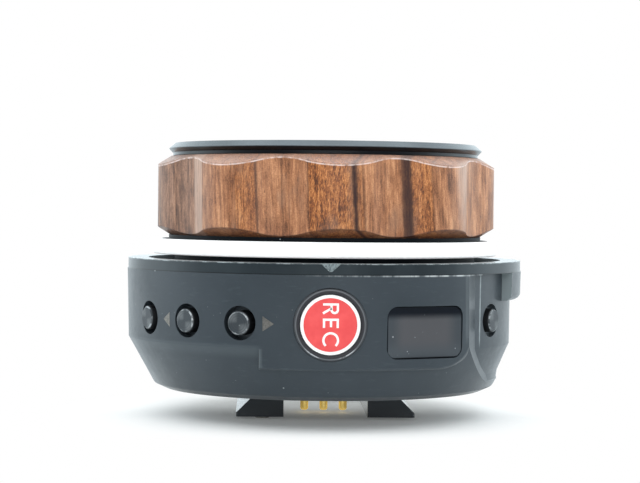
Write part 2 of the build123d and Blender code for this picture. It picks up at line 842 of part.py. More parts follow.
with BuildPart() as bearing_carrier:
    with BuildSketch(Plane.XZ):
        with BuildLine():
            Polyline(
                (bearing_web_bore / 2, lower_bearing_z + bearing_width),
                (bearing_seat_radius, lower_bearing_z + bearing_width),
                (bearing_seat_radius, carrier_sleeve_bottom_z),
                (carrier_sleeve_radius, carrier_sleeve_bottom_z),
                (carrier_sleeve_radius, carrier_bottom_z),
                (cavity_radius - part_clearance, carrier_bottom_z),
                (cavity_radius - part_clearance, carrier_top_z),
                (bearing_seat_radius, carrier_top_z),
                (bearing_seat_radius, upper_bearing_z),
                (bearing_web_bore / 2, upper_bearing_z),
                close=True,
            )
        face = make_face()
        fillet(nearest(face.vertices(), carrier_sleeve_radius, 0, carrier_bottom_z), carrier_sleeve_round)
    revolve()
    # Groove for the stop pin: its ends stop the wheel
    with BuildSketch(section_plane(stop_pin_bearing - wheel_travel)):
        with Locations((stop_circle, carrier_top_z)):
            Rectangle(2 * groove_half_width, 2 * stop_groove_depth)
    revolve(revolution_arc=2 * wheel_travel, mode=Mode.SUBTRACT)
    groove_ends = [at_bearing(stop_pin_bearing + end * wheel_travel, stop_circle) for end in (-1, 1)]
    with Locations(*lifted(groove_ends, carrier_top_z)):
        Hole(groove_half_width, depth=stop_groove_depth)
    with Locations(*lifted(bezel_screw_points, carrier_top_z)):
        Hole(m2_radius + screw_clearance, depth=carrier_thickness)
bearing_carrier.part.label = "bearing_carrier"

# --- Ball bearings: two, one above the other ---

bearing_bottoms = (lower_bearing_z, upper_bearing_z)
track_radius = (bearing_bore + bearing_outside) / 4


def bearing_races(inner_radius, outer_radius):
    """The inner or the outer race of both bearings, grooved for the balls."""
    with BuildPart() as races:
        for bottom in bearing_bottoms:
            with BuildSketch(Plane.XZ):
                with Locations(((inner_radius + outer_radius) / 2, bottom + bearing_width / 2)):
                    Rectangle(outer_radius - inner_radius, bearing_width)
                with Locations((track_radius, bottom + bearing_width / 2)):
                    Circle(ball_radius + running_clearance, mode=Mode.SUBTRACT)
            revolve()
    return races.part


bearing_inner_races = bearing_races(shaft_radius + press_clearance, shaft_radius + race_thickness)
bearing_inner_races.label = "bearing_inner_races"
bearing_outer_races = bearing_races(bearing_outside / 2 - race_thickness, bearing_outside / 2)
bearing_outer_races.label = "bearing_outer_races"

with BuildPart() as bearing_balls:
    for bottom in bearing_bottoms:
        with Locations((0, 0, bottom + bearing_width / 2)):
            with PolarLocations(track_radius, ball_count):
                Sphere(ball_radius)
bearing_balls.part.label = "bearing_balls"

# --- Wheel shaft, its clip and the encoder magnet ---

shoulder_bottom_z = upper_bearing_z + bearing_width
clip_top_z = lower_bearing_z
clip_bottom_z = clip_top_z - clip_thickness
groove_floor_radius = shaft_radius - clip_groove_depth
clip_eye_circle = clip_outer_radius - clip_eye_inset
magnet_bottom_z = shaft_end_z - magnet_proud
spacer_radius = shaft_radius + race_thickness

with BuildPart() as wheel_shaft:
    with BuildSketch(Plane.XZ):
        with BuildLine():
            Polyline(
                (0, shaft_end_z),
                (shaft_radius, shaft_end_z),
                (shaft_radius, clip_bottom_z - fit_clearance),
                (groove_floor_radius, clip_bottom_z - fit_clearance),
                (groove_floor_radius, clip_top_z),
                (shaft_radius, clip_top_z),
                (shaft_radius, shoulder_bottom_z),
                (shaft_shoulder_radius, shoulder_bottom_z),
                (shaft_shoulder_radius, hub_boss_bottom_z),
                (shaft_nose_radius, hub_boss_bottom_z),
                (shaft_nose_radius, shaft_nose_top_z),
                (0, shaft_nose_top_z),
                close=True,
            )
        face = make_face()
        chamfer(nearest(face.vertices(), shaft_radius, 0, shaft_end_z), shaft_end_chamfer)
    revolve()
    with Locations((0, 0, shaft_nose_top_z)):
        Hole(m3_radius, depth=shaft_thread_depth)
    with Locations(Location((0, 0, shaft_end_z), (180, 0, 0))):
        Hole(magnet_radius + fit_clearance, depth=magnet_depth)
wheel_shaft.part.label = "wheel_shaft"

with BuildPart() as bearing_spacer:
    with BuildSketch(Plane.XY.offset(lower_bearing_z + bearing_width)):
        Circle(spacer_radius)
        Circle(shaft_radius + fit_clearance, mode=Mode.SUBTRACT)
    extrude(amount=upper_bearing_z - lower_bearing_z - bearing_width)
bearing_spacer.part.label = "bearing_spacer"

with BuildPart() as shaft_clip:
    with BuildSketch(Plane.XY.offset(clip_bottom_z)):
        Circle(clip_outer_radius)
        Circle(groove_floor_radius + fit_clearance, mode=Mode.SUBTRACT)
        with Locations((clip_outer_radius / 2, 0)):
            Rectangle(clip_outer_radius, 2 * groove_floor_radius - clip_grip, mode=Mode.SUBTRACT)
        with PolarLocations(clip_eye_circle, 2, 180 - clip_eye_spread / 2, clip_eye_spread, endpoint=True):
            Circle(clip_eye_radius, mode=Mode.SUBTRACT)
    extrude(amount=clip_thickness)
shaft_clip.part.label = "shaft_clip"

with BuildPart() as encoder_magnet:
    with BuildSketch(Plane.XY.offset(magnet_bottom_z)):
        Circle(magnet_radius)
    extrude(amount=magnet_depth)
encoder_magnet.part.label = "encoder_magnet"

# --- Wheel hub, with its stop pin and screw ---

skirt_bore_radius = hub_skirt_radius - hub_skirt_thickness
hub_wall_bore_radius = hub_wall_radius - hub_wall_thickness
lightening_circle = (hub_boss_radius + hub_wall_bore_radius) / 2
ring_magnet_circle = (hub_skirt_radius + hub_drum_radius) / 2
ring_magnet_points = [at_bearing(b, ring_magnet_circle) for b in bearings(ring_magnet_count, 0)]

with BuildPart() as wheel_hub:
    with BuildSketch(Plane.XZ):
        with BuildLine():
            Polyline(
                (shaft_nose_radius + fit_clearance, hub_boss_bottom_z),
                (hub_boss_radius, hub_boss_bottom_z),
                (hub_boss_radius, hub_web_bottom_z),
                (skirt_bore_radius, hub_web_bottom_z),
                (skirt_bore_radius, hub_skirt_bottom_z),
                (hub_skirt_radius, hub_skirt_bottom_z),
                (hub_skirt_radius, hub_step_z),
                (hub_drum_radius, hub_step_z),
                (hub_drum_radius, hub_drum_top_z),
                (hub_plate_radius, hub_drum_top_z),
                (hub_plate_radius, hub_plate_top_z),
                (hub_wall_radius, hub_plate_top_z),
                (hub_wall_radius, cap_bottom_z),
                (hub_wall_bore_radius, cap_bottom_z),
                (hub_wall_bore_radius, hub_plate_top_z),
                (hub_boss_radius, hub_plate_top_z),
                (hub_boss_radius, hub_boss_top_z),
                (shaft_nose_radius + fit_clearance, hub_boss_top_z),
                close=True,
            )
        face = make_face()
        fillet(nearest(face.vertices(), hub_boss_radius, 0, hub_plate_top_z), hub_boss_round)
        fillet(nearest(face.vertices(), hub_wall_bore_radius, 0, hub_plate_top_z), hub_boss_round)
    revolve()
    # Lightening holes through the web
    with BuildSketch(Plane.XY.offset(hub_web_bottom_z)):
        with PolarLocations(lightening_circle, lightening_hole_count):
            Circle(lightening_hole_radius)
    extrude(amount=hub_plate_top_z - hub_web_bottom_z, mode=Mode.SUBTRACT)
    with Locations((*at_bearing(stop_pin_bearing, stop_circle), hub_plate_top_z)):
        Hole(stop_pin_radius + press_clearance, depth=hub_plate_top_z - hub_web_bottom_z)
    with Locations(*flipped(ring_magnet_points, hub_step_z)):
        Hole(ring_magnet_radius + fit_clearance, depth=ring_magnet_height)
wheel_hub.part.label = "wheel_hub"

with BuildPart() as stop_pin:
    with BuildSketch(Plane.XY.offset(carrier_top_z - stop_groove_depth + part_clearance)):
        with Locations(at_bearing(stop_pin_bearing, stop_circle)):
            Circle(stop_pin_radius)
    extrude(amount=hub_plate_top_z - carrier_top_z + stop_groove_depth - 2 * part_clearance)
stop_pin.part.label = "stop_pin"

with BuildPart() as hub_screw:
    with BuildSketch(Plane.XY.offset(hub_boss_top_z)):
        Circle(hub_screw_head_radius)
    extrude(amount=hub_screw_head_height)
    fillet(hub_screw.edges().sort_by(Axis.Z)[-1], hub_screw_round)
    with BuildSketch(Plane.XY.offset(hub_boss_top_z)):
        Circle(m3_radius - fit_clearance)
    extrude(amount=-hub_screw_length)
    with BuildSketch(Plane.XY.offset(hub_boss_top_z + hub_screw_head_height)):
        RegularPolygon(hub_screw_socket_radius, 6)
    extrude(amount=-hub_screw_socket_depth, mode=Mode.SUBTRACT)
hub_screw.part.label = "hub_screw"

with BuildPart() as ring_magnets:
    with BuildSketch(Plane.XY.offset(hub_step_z)):
        with Locations(*ring_magnet_points):
            Circle(ring_magnet_radius)
    extrude(amount=ring_magnet_height - fit_clearance)
ring_magnets.part.label = "ring_magnets"

# --- Marking ring: plain white, for the user's own focus marks ---

with BuildPart() as marking_ring:
    with BuildSketch(Plane.XZ):
        with BuildLine():
            Polyline(
                (hub_skirt_radius + seam_clearance, ring_bottom_z),
                (ring_radius, ring_bottom_z),
                (ring_radius, hub_drum_top_z),
                (hub_drum_radius + fit_clearance, hub_drum_top_z),
                (hub_drum_radius + fit_clearance, ring_bottom_z + ring_lip_thickness),
                (hub_skirt_radius + seam_clearance, ring_bottom_z + ring_lip_thickness),
                close=True,
            )
        face = make_face()
        fillet(nearest(face.vertices(), ring_radius, 0, ring_bottom_z), ring_edge_round)
        fillet(nearest(face.vertices(), ring_radius, 0, hub_drum_top_z), ring_edge_round)
    revolve()
marking_ring.part.label = "marking_ring"

# --- Wooden grip ---

pitch_angle = 360 / lobe_count
lobe_half = pitch_angle * lobe_share / 2
valley_half = pitch_angle / 2 - lobe_half
edge_radius = (lobe_radius + valley_radius) / 2
bevel_radius = lobe_radius + seam_clearance  # where the turned bevels end
bottom_bevel_slope = grip_bottom_bevel / (lobe_radius - grip_bottom_radius)
bevel_bottom_z = hub_plate_top_z + bottom_bevel_slope * (bevel_radius - grip_bottom_radius)
top_bevel_slope = grip_top_bevel / (lobe_radius - grip_top_radius)
bevel_top_z = grip_top_z - top_bevel_slope * (bevel_radius - grip_top_radius)

with BuildPart() as wood_grip:
    # Lobes and valleys are arcs that meet halfway up each flank
    with BuildSketch(Plane.XY.offset(hub_plate_top_z)):
        with BuildLine():
            for bearing in bearings(lobe_count, lobe_bearing):
                ThreePointArc(
                    at_bearing(bearing - lobe_half, edge_radius),
                    at_bearing(bearing, lobe_radius),
                    at_bearing(bearing + lobe_half, edge_radius),
                )
                ThreePointArc(
                    at_bearing(bearing + lobe_half, edge_radius),
                    at_bearing(bearing + lobe_half + valley_half, valley_radius),
                    at_bearing(bearing + lobe_half + 2 * valley_half, edge_radius),
                )
        face = make_face()
        fillet(face.vertices(), flank_round)
    extrude(amount=grip_top_z - hub_plate_top_z)
    # Turned bevels above and below
    with BuildSketch(Plane.XZ):
        with BuildLine():
            Polyline(
                (hub_wall_radius + fit_clearance, hub_plate_top_z),
                (grip_bottom_radius, hub_plate_top_z),
                (bevel_radius, bevel_bottom_z),
                (bevel_radius, bevel_top_z),
                (grip_top_radius, grip_top_z),
                (hub_wall_radius + fit_clearance, grip_top_z),
                close=True,
            )
        make_face()
    revolve(mode=Mode.INTERSECT)
wood_grip.part.label = "wood_grip"

# --- Top cap and its sealing ring ---

cap_dish_z = cap_top_z - cap_dish_depth
cap_dish_radius = cap_top_radius - cap_rim_width - cap_rim_slope
cap_neck_bottom_z = grip_top_z + seam_clearance
cap_spigot_bottom_z = cap_bottom_z - cap_spigot_depth
seal_groove_top_z = cap_bottom_z - cap_groove_lip
seal_groove_bottom_z = cap_spigot_bottom_z + cap_groove_lip
seal_groove_radius = cap_spigot_radius - seal_thickness
spigot_bore_radius = seal_groove_radius - cap_wall

with BuildPart() as top_cap:
    with BuildSketch(Plane.XZ):
        with BuildLine():
            Polyline(
                (0, cap_dish_z),
                (cap_dish_radius, cap_dish_z),
                (cap_dish_radius + cap_rim_slope, cap_top_z),
                (cap_top_radius, cap_top_z),
                (cap_radius, cap_band_top_z),
                (cap_radius, cap_band_bottom_z),
                (cap_lower_radius, cap_bottom_z),
                (cap_neck_radius, cap_bottom_z),
                (cap_neck_radius, cap_neck_bottom_z),
                (cap_neck_radius - cap_neck_width, cap_neck_bottom_z),
                (cap_neck_radius - cap_neck_width, cap_bottom_z),
                (cap_spigot_radius, cap_bottom_z),
                (cap_spigot_radius, seal_groove_top_z),
                (seal_groove_radius, seal_groove_top_z),
                (seal_groove_radius, seal_groove_bottom_z),
                (cap_spigot_radius, seal_groove_bottom_z),
                (cap_spigot_radius, cap_spigot_bottom_z),
                (spigot_bore_radius, cap_spigot_bottom_z),
                (spigot_bore_radius, cap_bottom_z),
                (0, cap_bottom_z),
                close=True,
            )
        make_face()
    revolve()
top_cap.part.label = "top_cap"

seal_radius = seal_thickness / 2
seal_z = (seal_groove_top_z + seal_groove_bottom_z) / 2

with BuildPart() as cap_seal:
    with BuildSketch(Plane.XZ):
        with Locations((seal_groove_radius + seal_radius + fit_clearance, seal_z)):
            Circle(seal_radius)
    revolve()
cap_seal.part.label = "cap_seal"

# --- Small push buttons: cap, retaining flange and switch nub in one turned piece ---

switch_face = flex_radius + switch_depth


def push_button(bearing, face_distance):
    """A button whose flange lies behind the wall and whose nub reaches into its switch."""
    flange_top = cavity_radius - part_clearance
    with BuildPart() as button:
        with BuildSketch(wall_plane(bearing, face_distance, button_z)):
            Circle(button_radius)
        extrude(amount=-(face_distance - flange_top + button_flange_thickness / 2))
        beyond = outward(bearing) * 2 * rim_radius
        chamfer(nearest(button.faces(), beyond.X, beyond.Y, button_z).edges(), button_face_chamfer)
        with BuildSketch(wall_plane(bearing, flange_top, button_z)):
            Circle(button_flange_radius)
        extrude(amount=-button_flange_thickness)
        with BuildSketch(wall_plane(bearing, flange_top, button_z)):
            Circle(button_nub_radius)
        extrude(amount=-(flange_top - switch_face + switch_reach))
    return button.part


surface_at_button = wall_radius(button_z)
buttons = {
    "mode_button": push_button(mode_button_bearing, surface_at_button + button_proud),
    "back_button": push_button(back_button_bearing, surface_at_button + button_proud),
    "forward_button": push_button(forward_button_bearing, surface_at_button + button_proud),
    "side_button": push_button(side_button_bearing, recess_radius + button_proud),
}

with BuildPart() as button_switches:
    for bearing in (mode_button_bearing, back_button_bearing, forward_button_bearing, side_button_bearing):
        with BuildSketch(wall_plane(bearing, flex_radius, button_z)):
            RectangleRounded(switch_size, switch_size, switch_corner)
        extrude(amount=switch_depth)
        with BuildSketch(wall_plane(bearing, switch_face, button_z)):
            Circle(button_nub_radius + seam_clearance)
        extrude(amount=-(switch_reach + button_travel + switch_spare), mode=Mode.SUBTRACT)
button_switches.part.label = "button_switches"

with BuildPart() as button_boards:
    for start, end in ((left_flex_start, left_flex_end), (right_flex_start, right_flex_end)):
        with BuildSketch(section_plane(start)):
            with Locations((flex_radius - flex_thickness / 2, button_z)):
                Rectangle(flex_thickness, flex_height)
        revolve(revolution_arc=end - start)
button_boards.part.label = "button_boards"

# --- Record button ---

with BuildPart() as rec_surround:
    with BuildSketch(Plane.XZ.offset(rec_surround_floor)):
        with Locations((0, rec_z)):
            Circle(rec_surround_radius)
            Circle(rec_button_radius + running_clearance, mode=Mode.SUBTRACT)
    extrude(amount=rec_face + rec_surround_proud - rec_surround_floor)
    fillet(rec_surround.faces().sort_by(Axis.Y)[0].edges(), rec_surround_round)
rec_surround.part.label = "rec_surround"

rec_back = rec_surround_floor + rec_travel + seam_clearance
rec_flange_front = cavity_radius - part_clearance - rec_flange_gap
rec_flange_back = rec_flange_front - rec_flange_thickness
rec_switch_face = rec_board_distance + rec_switch_depth

with BuildPart() as rec_button:
    with BuildSketch(Plane.XZ.offset(rec_back)):
        with Locations((0, rec_z)):
            Circle(rec_button_radius)
    extrude(amount=rec_face - rec_back)
    with BuildSketch(Plane.XZ.offset(rec_face)):
        with Locations((0, rec_z)):
            Circle(rec_disc_radius + press_clearance)
    extrude(amount=-(rec_disc_thickness + rec_rim), mode=Mode.SUBTRACT)
    with BuildSketch(Plane.XZ.offset(rec_back)):
        with Locations((0, rec_z)):
            Circle(rec_stem_radius)
    extrude(amount=-(rec_back - rec_flange_front))
    with BuildSketch(Plane.XZ.offset(rec_flange_front)):
        with Locations((0, rec_z)):
            Circle(rec_flange_radius)
    extrude(amount=-rec_flange_thickness)
    with BuildSketch(Plane.XZ.offset(rec_flange_back)):
        with Locations((0, rec_z)):
            Circle(rec_nub_radius)
    extrude(amount=-(rec_flange_back - rec_switch_face + switch_reach))
rec_button.part.label = "rec_button"

with BuildPart() as rec_disc:
    with BuildSketch(Plane.XZ.offset(rec_face - rec_rim - rec_disc_thickness)):
        with Locations((0, rec_z)):
            Circle(rec_disc_radius)
    extrude(amount=rec_disc_thickness)
rec_disc.part.label = "rec_disc"

with BuildPart() as rec_switch:
    with BuildSketch(Plane.XZ.offset(rec_board_distance)):
        with Locations((0, rec_z)):
            RectangleRounded(rec_switch_size, rec_switch_size, switch_corner)
    extrude(amount=rec_switch_depth)
    with BuildSketch(Plane.XZ.offset(rec_switch_face)):
        with Locations((0, rec_z)):
            Circle(rec_nub_radius + seam_clearance)
    extrude(amount=-(switch_reach + rec_travel + switch_spare), mode=Mode.SUBTRACT)
rec_switch.part.label = "rec_switch"

with BuildPart() as rec_board:
    with BuildSketch(Plane.XZ.offset(rec_board_distance)):
        with Locations((0, rec_z)):
            RectangleRounded(
                rec_switch_size + 2 * rec_board_margin_x,
                rec_switch_size + 2 * rec_board_margin_z,
                board_corner,
            )
    extrude(amount=-flex_thickness)
rec_board.part.label = "rec_board"

# --- Display ---

with BuildPart() as display_window:
    with BuildSketch(wall_plane(display_bearing, window_seat, display_z)):
        RectangleRounded(
            window_width - 2 * fit_clearance,
            window_height - 2 * fit_clearance,
            window_corner - fit_clearance,
        )
    extrude(amount=window_thickness)
    beyond = outward(display_bearing) * 2 * rim_radius
    chamfer(nearest(display_window.faces(), beyond.X, beyond.Y, display_z).edges(), window_chamfer)
display_window.part.label = "display_window"

with BuildPart() as display_panel:
    with BuildSketch(wall_plane(display_bearing, display_board_face, display_z)):
        RectangleRounded(panel_glass_width, panel_glass_height, panel_glass_corner)
    extrude(amount=panel_glass_thickness)
display_panel.part.label = "display_panel"

with BuildPart() as display_board:
    with BuildSketch(wall_plane(display_bearing, display_board_face, display_z)):
        RectangleRounded(display_board_width, display_board_height, board_corner)
    extrude(amount=-flex_thickness)
display_board.part.label = "display_board"

# --- Bracket that carries the button and display boards ---

bracket_top_z = button_z + flex_height / 2 + bracket_headroom
display_wall_width = display_board_width - 2 * display_wall_inset
rec_wall_distance = rec_board_distance - flex_thickness
display_wall_distance = display_board_face - flex_thickness
bracket_foot_middle_z = board_top_z + bracket_foot_height / 2
bracket_middle_z = (board_top_z + bracket_top_z) / 2

with BuildPart() as control_bracket:
    with BuildSketch(section_plane(bracket_foot_start)):
        with Locations((bracket_radius - bracket_thickness, bracket_foot_middle_z)):
            Rectangle(2 * bracket_thickness, bracket_foot_height)
    revolve(revolution_arc=right_flex_end - bracket_foot_start)
    for start, end in ((left_flex_start, left_flex_end), (right_flex_start, right_flex_end)):
        with BuildSketch(section_plane(start)):
            with Locations((bracket_radius - bracket_thickness / 2, bracket_middle_z)):
                Rectangle(bracket_thickness, bracket_top_z - board_top_z)
        revolve(revolution_arc=end - start)
    with BuildSketch(Plane.XY.offset(board_top_z)):
        with Locations((0, -rec_wall_distance + bracket_thickness / 2)):
            Rectangle(rec_switch_size, bracket_thickness)
    extrude(amount=bracket_top_z - board_top_z)
    with BuildSketch(wall_plane(display_bearing, display_wall_distance, bracket_middle_z)):
        Rectangle(display_wall_width, bracket_top_z - board_top_z)
    extrude(amount=-bracket_thickness)
    # A tab joins the display's wall to the foot
    with BuildSketch(wall_plane(display_bearing, display_wall_distance, bracket_foot_middle_z)):
        Rectangle(display_wall_width, bracket_foot_height)
    extrude(amount=-(display_wall_distance - bracket_radius + bracket_thickness))
    with Locations(*lifted(board_screw_points[1:3], board_top_z + bracket_foot_height)):
        Hole(small_screw_radius + screw_clearance, depth=bracket_foot_height)
control_bracket.part.label = "control_bracket"

# --- Main board, its components and the radio ---

with BuildPart() as main_board:
    with BuildSketch(Plane.XY.offset(board_bottom_z)):
        Circle(board_radius)
    extrude(amount=board_thickness)
    with Locations(*lifted(board_screw_points, board_top_z)):
        Hole(small_screw_radius + screw_clearance, depth=board_thickness)
main_board.part.label = "main_board"

with BuildPart() as board_components:
    for x, y, length, width, height in component_sizes:
        with BuildSketch(Plane.XY.offset(board_top_z)):
            with Locations((x, y)):
                Rectangle(length, width)
        extrude(amount=height)
board_components.part.label = "board_components"

with BuildPart() as radio_module:
    with BuildSketch(Plane.XY.offset(board_top_z)):
        with Locations((radio_x, radio_y)):
            RectangleRounded(radio_width, radio_length, radio_corner)
    extrude(amount=radio_height)
    chamfer(radio_module.faces().sort_by(Axis.Z)[-1].edges(), radio_chamfer)
radio_module.part.label = "radio_module"

# --- Battery in its tray ---

battery_y = battery_front_y + battery_width / 2
tray_length = battery_length + 2 * (tray_wall + seam_clearance)
tray_width = battery_width + 2 * (tray_wall + seam_clearance)

with BuildPart() as battery_tray:
    with BuildSketch(Plane.XY.offset(board_top_z)):
        with Locations((0, battery_y)):
            Rectangle(tray_length, tray_width)
    extrude(amount=tray_height)
    with BuildSketch(Plane.XY.offset(board_top_z + tray_wall)):
        with Locations((0, battery_y)):
            Rectangle(tray_length - 2 * tray_wall, tray_width - 2 * tray_wall)
    extrude(amount=tray_height, mode=Mode.SUBTRACT)
battery_tray.part.label = "battery_tray"

with BuildPart() as battery:
    with BuildSketch(Plane.XY.offset(board_top_z + tray_wall)):
        with Locations((0, battery_y)):
            Rectangle(battery_length, battery_width)
    extrude(amount=battery_height)
    fillet(battery.edges().filter_by(Axis.X), battery_round)
battery.part.label = "battery"

# --- Charging port on its own small board ---

usb_mouth = recess_radius - usb_inset
usb_board_top_z = usb_z - usb_height / 2

with BuildPart() as usb_port:
    with BuildSketch(wall_plane(usb_bearing, usb_mouth - usb_depth, usb_z)):
        SlotOverall(usb_width, usb_height)
    extrude(amount=usb_depth)
    with BuildSketch(wall_plane(usb_bearing, usb_mouth, usb_z)):
        SlotOverall(usb_width - 2 * usb_wall, usb_height - 2 * usb_wall)
    extrude(amount=-(usb_depth - usb_back), mode=Mode.SUBTRACT)
    with BuildSketch(wall_plane(usb_bearing, usb_mouth - usb_depth + usb_back / 2, usb_z)):
        Rectangle(usb_width - 2 * usb_tongue_gap, usb_tongue_thickness)
    extrude(amount=usb_depth - usb_back / 2 - usb_tongue_inset)
usb_port.part.label = "usb_port"

usb_board_front = cavity_radius - usb_board_gap

with BuildPart() as usb_board:
    with BuildSketch(Plane.XY.offset(usb_board_top_z - board_thickness)):
        with Locations((usb_board_front - usb_board_depth / 2, 0)):
            Rectangle(usb_board_depth, usb_board_width)
    extrude(amount=board_thickness)
usb_board.part.label = "usb_board"

usb_post_x = usb_board_front - usb_board_depth + usb_post_radius
usb_post_y = usb_board_width / 2 - usb_post_edge

with BuildPart() as usb_posts:
    with BuildSketch(Plane.XY.offset(board_top_z)):
        with Locations((usb_post_x, -usb_post_y), (usb_post_x, usb_post_y)):
            Circle(usb_post_radius)
    extrude(amount=usb_board_top_z - board_thickness - board_top_z)
usb_posts.part.label = "usb_posts"

# --- Spring contacts ---

pogo_xs = {"pogo_pin_left": -pogo_pitch, "pogo_pin_middle": 0.0, "pogo_pin_right": pogo_pitch}
pogo_collar_z = pogo_barrel_bottom_z + pogo_barrel_lip
pogo_collar_top_z = pogo_collar_z + pogo_collar_height
pogo_spring_top_z = pogo_barrel_top_z - pogo_barrel_wall
pogo_flange_top_z = base_top_z + pogo_flange_height
pogo_spring_radius = pogo_barrel_radius - pogo_barrel_wall - spring_gap

with BuildPart() as pogo_block:
    with BuildSketch(Plane.XY.offset(pogo_block_bottom_z)):
        with Locations((0, pogo_y)):
            RectangleRounded(pogo_block_length, pogo_block_width, pogo_block_corner)
    extrude(amount=pogo_flange_top_z - pogo_block_bottom_z)
    with BuildSketch(Plane.XY.offset(base_top_z)):
        with Locations((0, pogo_y)):
            RectangleRounded(
                pogo_block_length + 2 * pogo_flange,
                pogo_block_width + 2 * pogo_flange,
                pogo_block_corner,
            )
    extrude(amount=pogo_flange_height)
    with BuildSketch(Plane.XY.offset(pogo_block_bottom_z)):
        with Locations(*[(x, pogo_y) for x in pogo_xs.values()]):
            Circle(pogo_barrel_radius + fit_clearance / 2)
    extrude(amount=pogo_flange_top_z - pogo_block_bottom_z, mode=Mode.SUBTRACT)
pogo_block.part.label = "pogo_block"

with BuildPart() as pogo_barrels:
    for x in pogo_xs.values():
        with BuildSketch(Plane.XY.offset(pogo_barrel_bottom_z)):
            with Locations((x, pogo_y)):
                Circle(pogo_barrel_radius)
        extrude(amount=pogo_barrel_top_z - pogo_barrel_bottom_z)
        with BuildSketch(Plane.XY.offset(pogo_spring_top_z)):
            with Locations((x, pogo_y)):
                Circle(pogo_barrel_radius - pogo_barrel_wall)
        extrude(amount=-(pogo_spring_top_z - pogo_collar_z), mode=Mode.SUBTRACT)
        with BuildSketch(Plane.XY.offset(pogo_barrel_bottom_z)):
            with Locations((x, pogo_y)):
                Circle(pogo_radius + running_clearance)
        extrude(amount=pogo_collar_z - pogo_barrel_bottom_z, mode=Mode.SUBTRACT)
        with BuildSketch(Plane.XY.offset(pogo_barrel_top_z)):
            with Locations((x, pogo_y)):
                Circle(pogo_tail_radius)
        extrude(amount=board_bottom_z - pogo_barrel_top_z)
pogo_barrels.part.label = "pogo_barrels"


def pogo_plunger(x):
    """A round-nosed pin with a collar that its barrel holds back."""
    with BuildPart() as plunger:
        with BuildSketch(Plane.XY.offset(pogo_tip_z)):
            with Locations((x, pogo_y)):
                Circle(pogo_radius)
        extrude(amount=pogo_collar_z - pogo_tip_z)
        fillet(plunger.edges().sort_by(Axis.Z)[0], pogo_nose_round)
        with BuildSketch(Plane.XY.offset(pogo_collar_z)):
            with Locations((x, pogo_y)):
                Circle(pogo_collar_radius)
        extrude(amount=pogo_collar_height)
    return plunger.part


def coil_spring(x, y, bottom_z, top_z, radius, turns):
    """A round-wire compression spring standing on its lower seat."""
    height = top_z - bottom_z - spring_wire
    start = (x, y, bottom_z + spring_wire / 2)
    with BuildPart() as coil:
        with BuildLine() as path:
            Helix(height / turns, height, radius - spring_wire / 2, center=start)
        with BuildSketch(Plane(origin=path.line @ 0, z_dir=path.line % 0)):
            Circle(spring_wire / 2)
        sweep(is_frenet=True)
    return coil.part


# --- Locking pin in the left foot ---

lock_top_z = lock_collar_z + lock_collar_height
lock_spring_top_z = floor_z + lock_spring_pocket

with BuildPart() as lock_pin:
    with BuildSketch(Plane.XY.offset(-lock_proud)):
        with Locations((lock_x, lock_y)):
            Circle(lock_radius)
    extrude(amount=lock_collar_z + lock_proud)
    fillet(lock_pin.edges().sort_by(Axis.Z)[0], lock_nose_round)
    with BuildSketch(Plane.XY.offset(lock_collar_z)):
        with Locations((lock_x, lock_y)):
            Circle(lock_collar_radius)
    extrude(amount=lock_collar_height)
lock_pin.part.label = "lock_pin"

# --- Screws ---


def flat_screw(head_z, radius, head_radius, length, way):
    """One flat-headed screw on the axis: way is 1 with the head up, -1 with it down."""
    with BuildPart() as screw:
        with BuildSketch(Plane.XZ):
            with BuildLine():
                Polyline(
                    (0, head_z),
                    (head_radius, head_z),
                    (radius, head_z - way * (head_radius - radius)),
                    (radius, head_z - way * length),
                    (0, head_z - way * length),
                    close=True,
                )
            make_face()
        revolve()
        with BuildSketch(Plane.XY.offset(head_z)):
            RegularPolygon(driver_radius, 6)
        extrude(amount=-way * driver_depth, mode=Mode.SUBTRACT)
    return screw.part


def pan_screw(seat_z, radius, head_radius, head_height, length):
    """One pan-headed screw on the axis, its head standing on seat_z."""
    with BuildPart() as screw:
        with BuildSketch(Plane.XY.offset(seat_z)):
            Circle(head_radius)
        extrude(amount=head_height)
        fillet(screw.edges().sort_by(Axis.Z)[-1], head_height * pan_round_share)
        with BuildSketch(Plane.XY.offset(seat_z)):
            Circle(radius)
        extrude(amount=-length)
        with BuildSketch(Plane.XY.offset(seat_z + head_height)):
            RegularPolygon(driver_radius, 6)
        extrude(amount=-driver_depth, mode=Mode.SUBTRACT)
    return screw.part


def placed(screw, points):
    """The same screw at each point in plan, as one group."""
    with BuildPart() as group:
        with Locations(*[(x, y, 0) for x, y in points]):
            add(screw)
    return group.part


bezel_screws = placed(
    flat_screw(
        flange_top_z,
        m2_radius - fit_clearance,
        m2_flat_head_radius,
        bezel_flange_thickness + carrier_thickness + bezel_screw_grip,
        1,
    ),
    bezel_screw_points,
)
base_screws = placed(
    flat_screw(
        floor_z,
        small_screw_radius - fit_clearance,
        small_head_radius,
        base_thickness + base_screw_grip,
        -1,
    ),
    base_screw_points,
)
foot_screws = placed(
    pan_screw(
        base_top_z,
        m2_radius - fit_clearance,
        m2_head_radius,
        m2_head_height,
        base_thickness + foot_thread_depth - thread_end_gap,
    ),
    foot_screw_points,
)

with BuildPart() as board_screws:
    for point in board_screw_points:
        holds_bracket = point in board_screw_points[1:3]
        seat_z = board_top_z + (bracket_foot_height if holds_bracket else 0)
        screw = pan_screw(
            seat_z,
            small_screw_radius - fit_clearance,
            small_head_radius,
            small_head_height,
            seat_z - ledge_top_z,
        )
        with Locations(point):
            add(screw)
board_screws.part.label = "board_screws"

# --- Write one STEP file for each piece ---

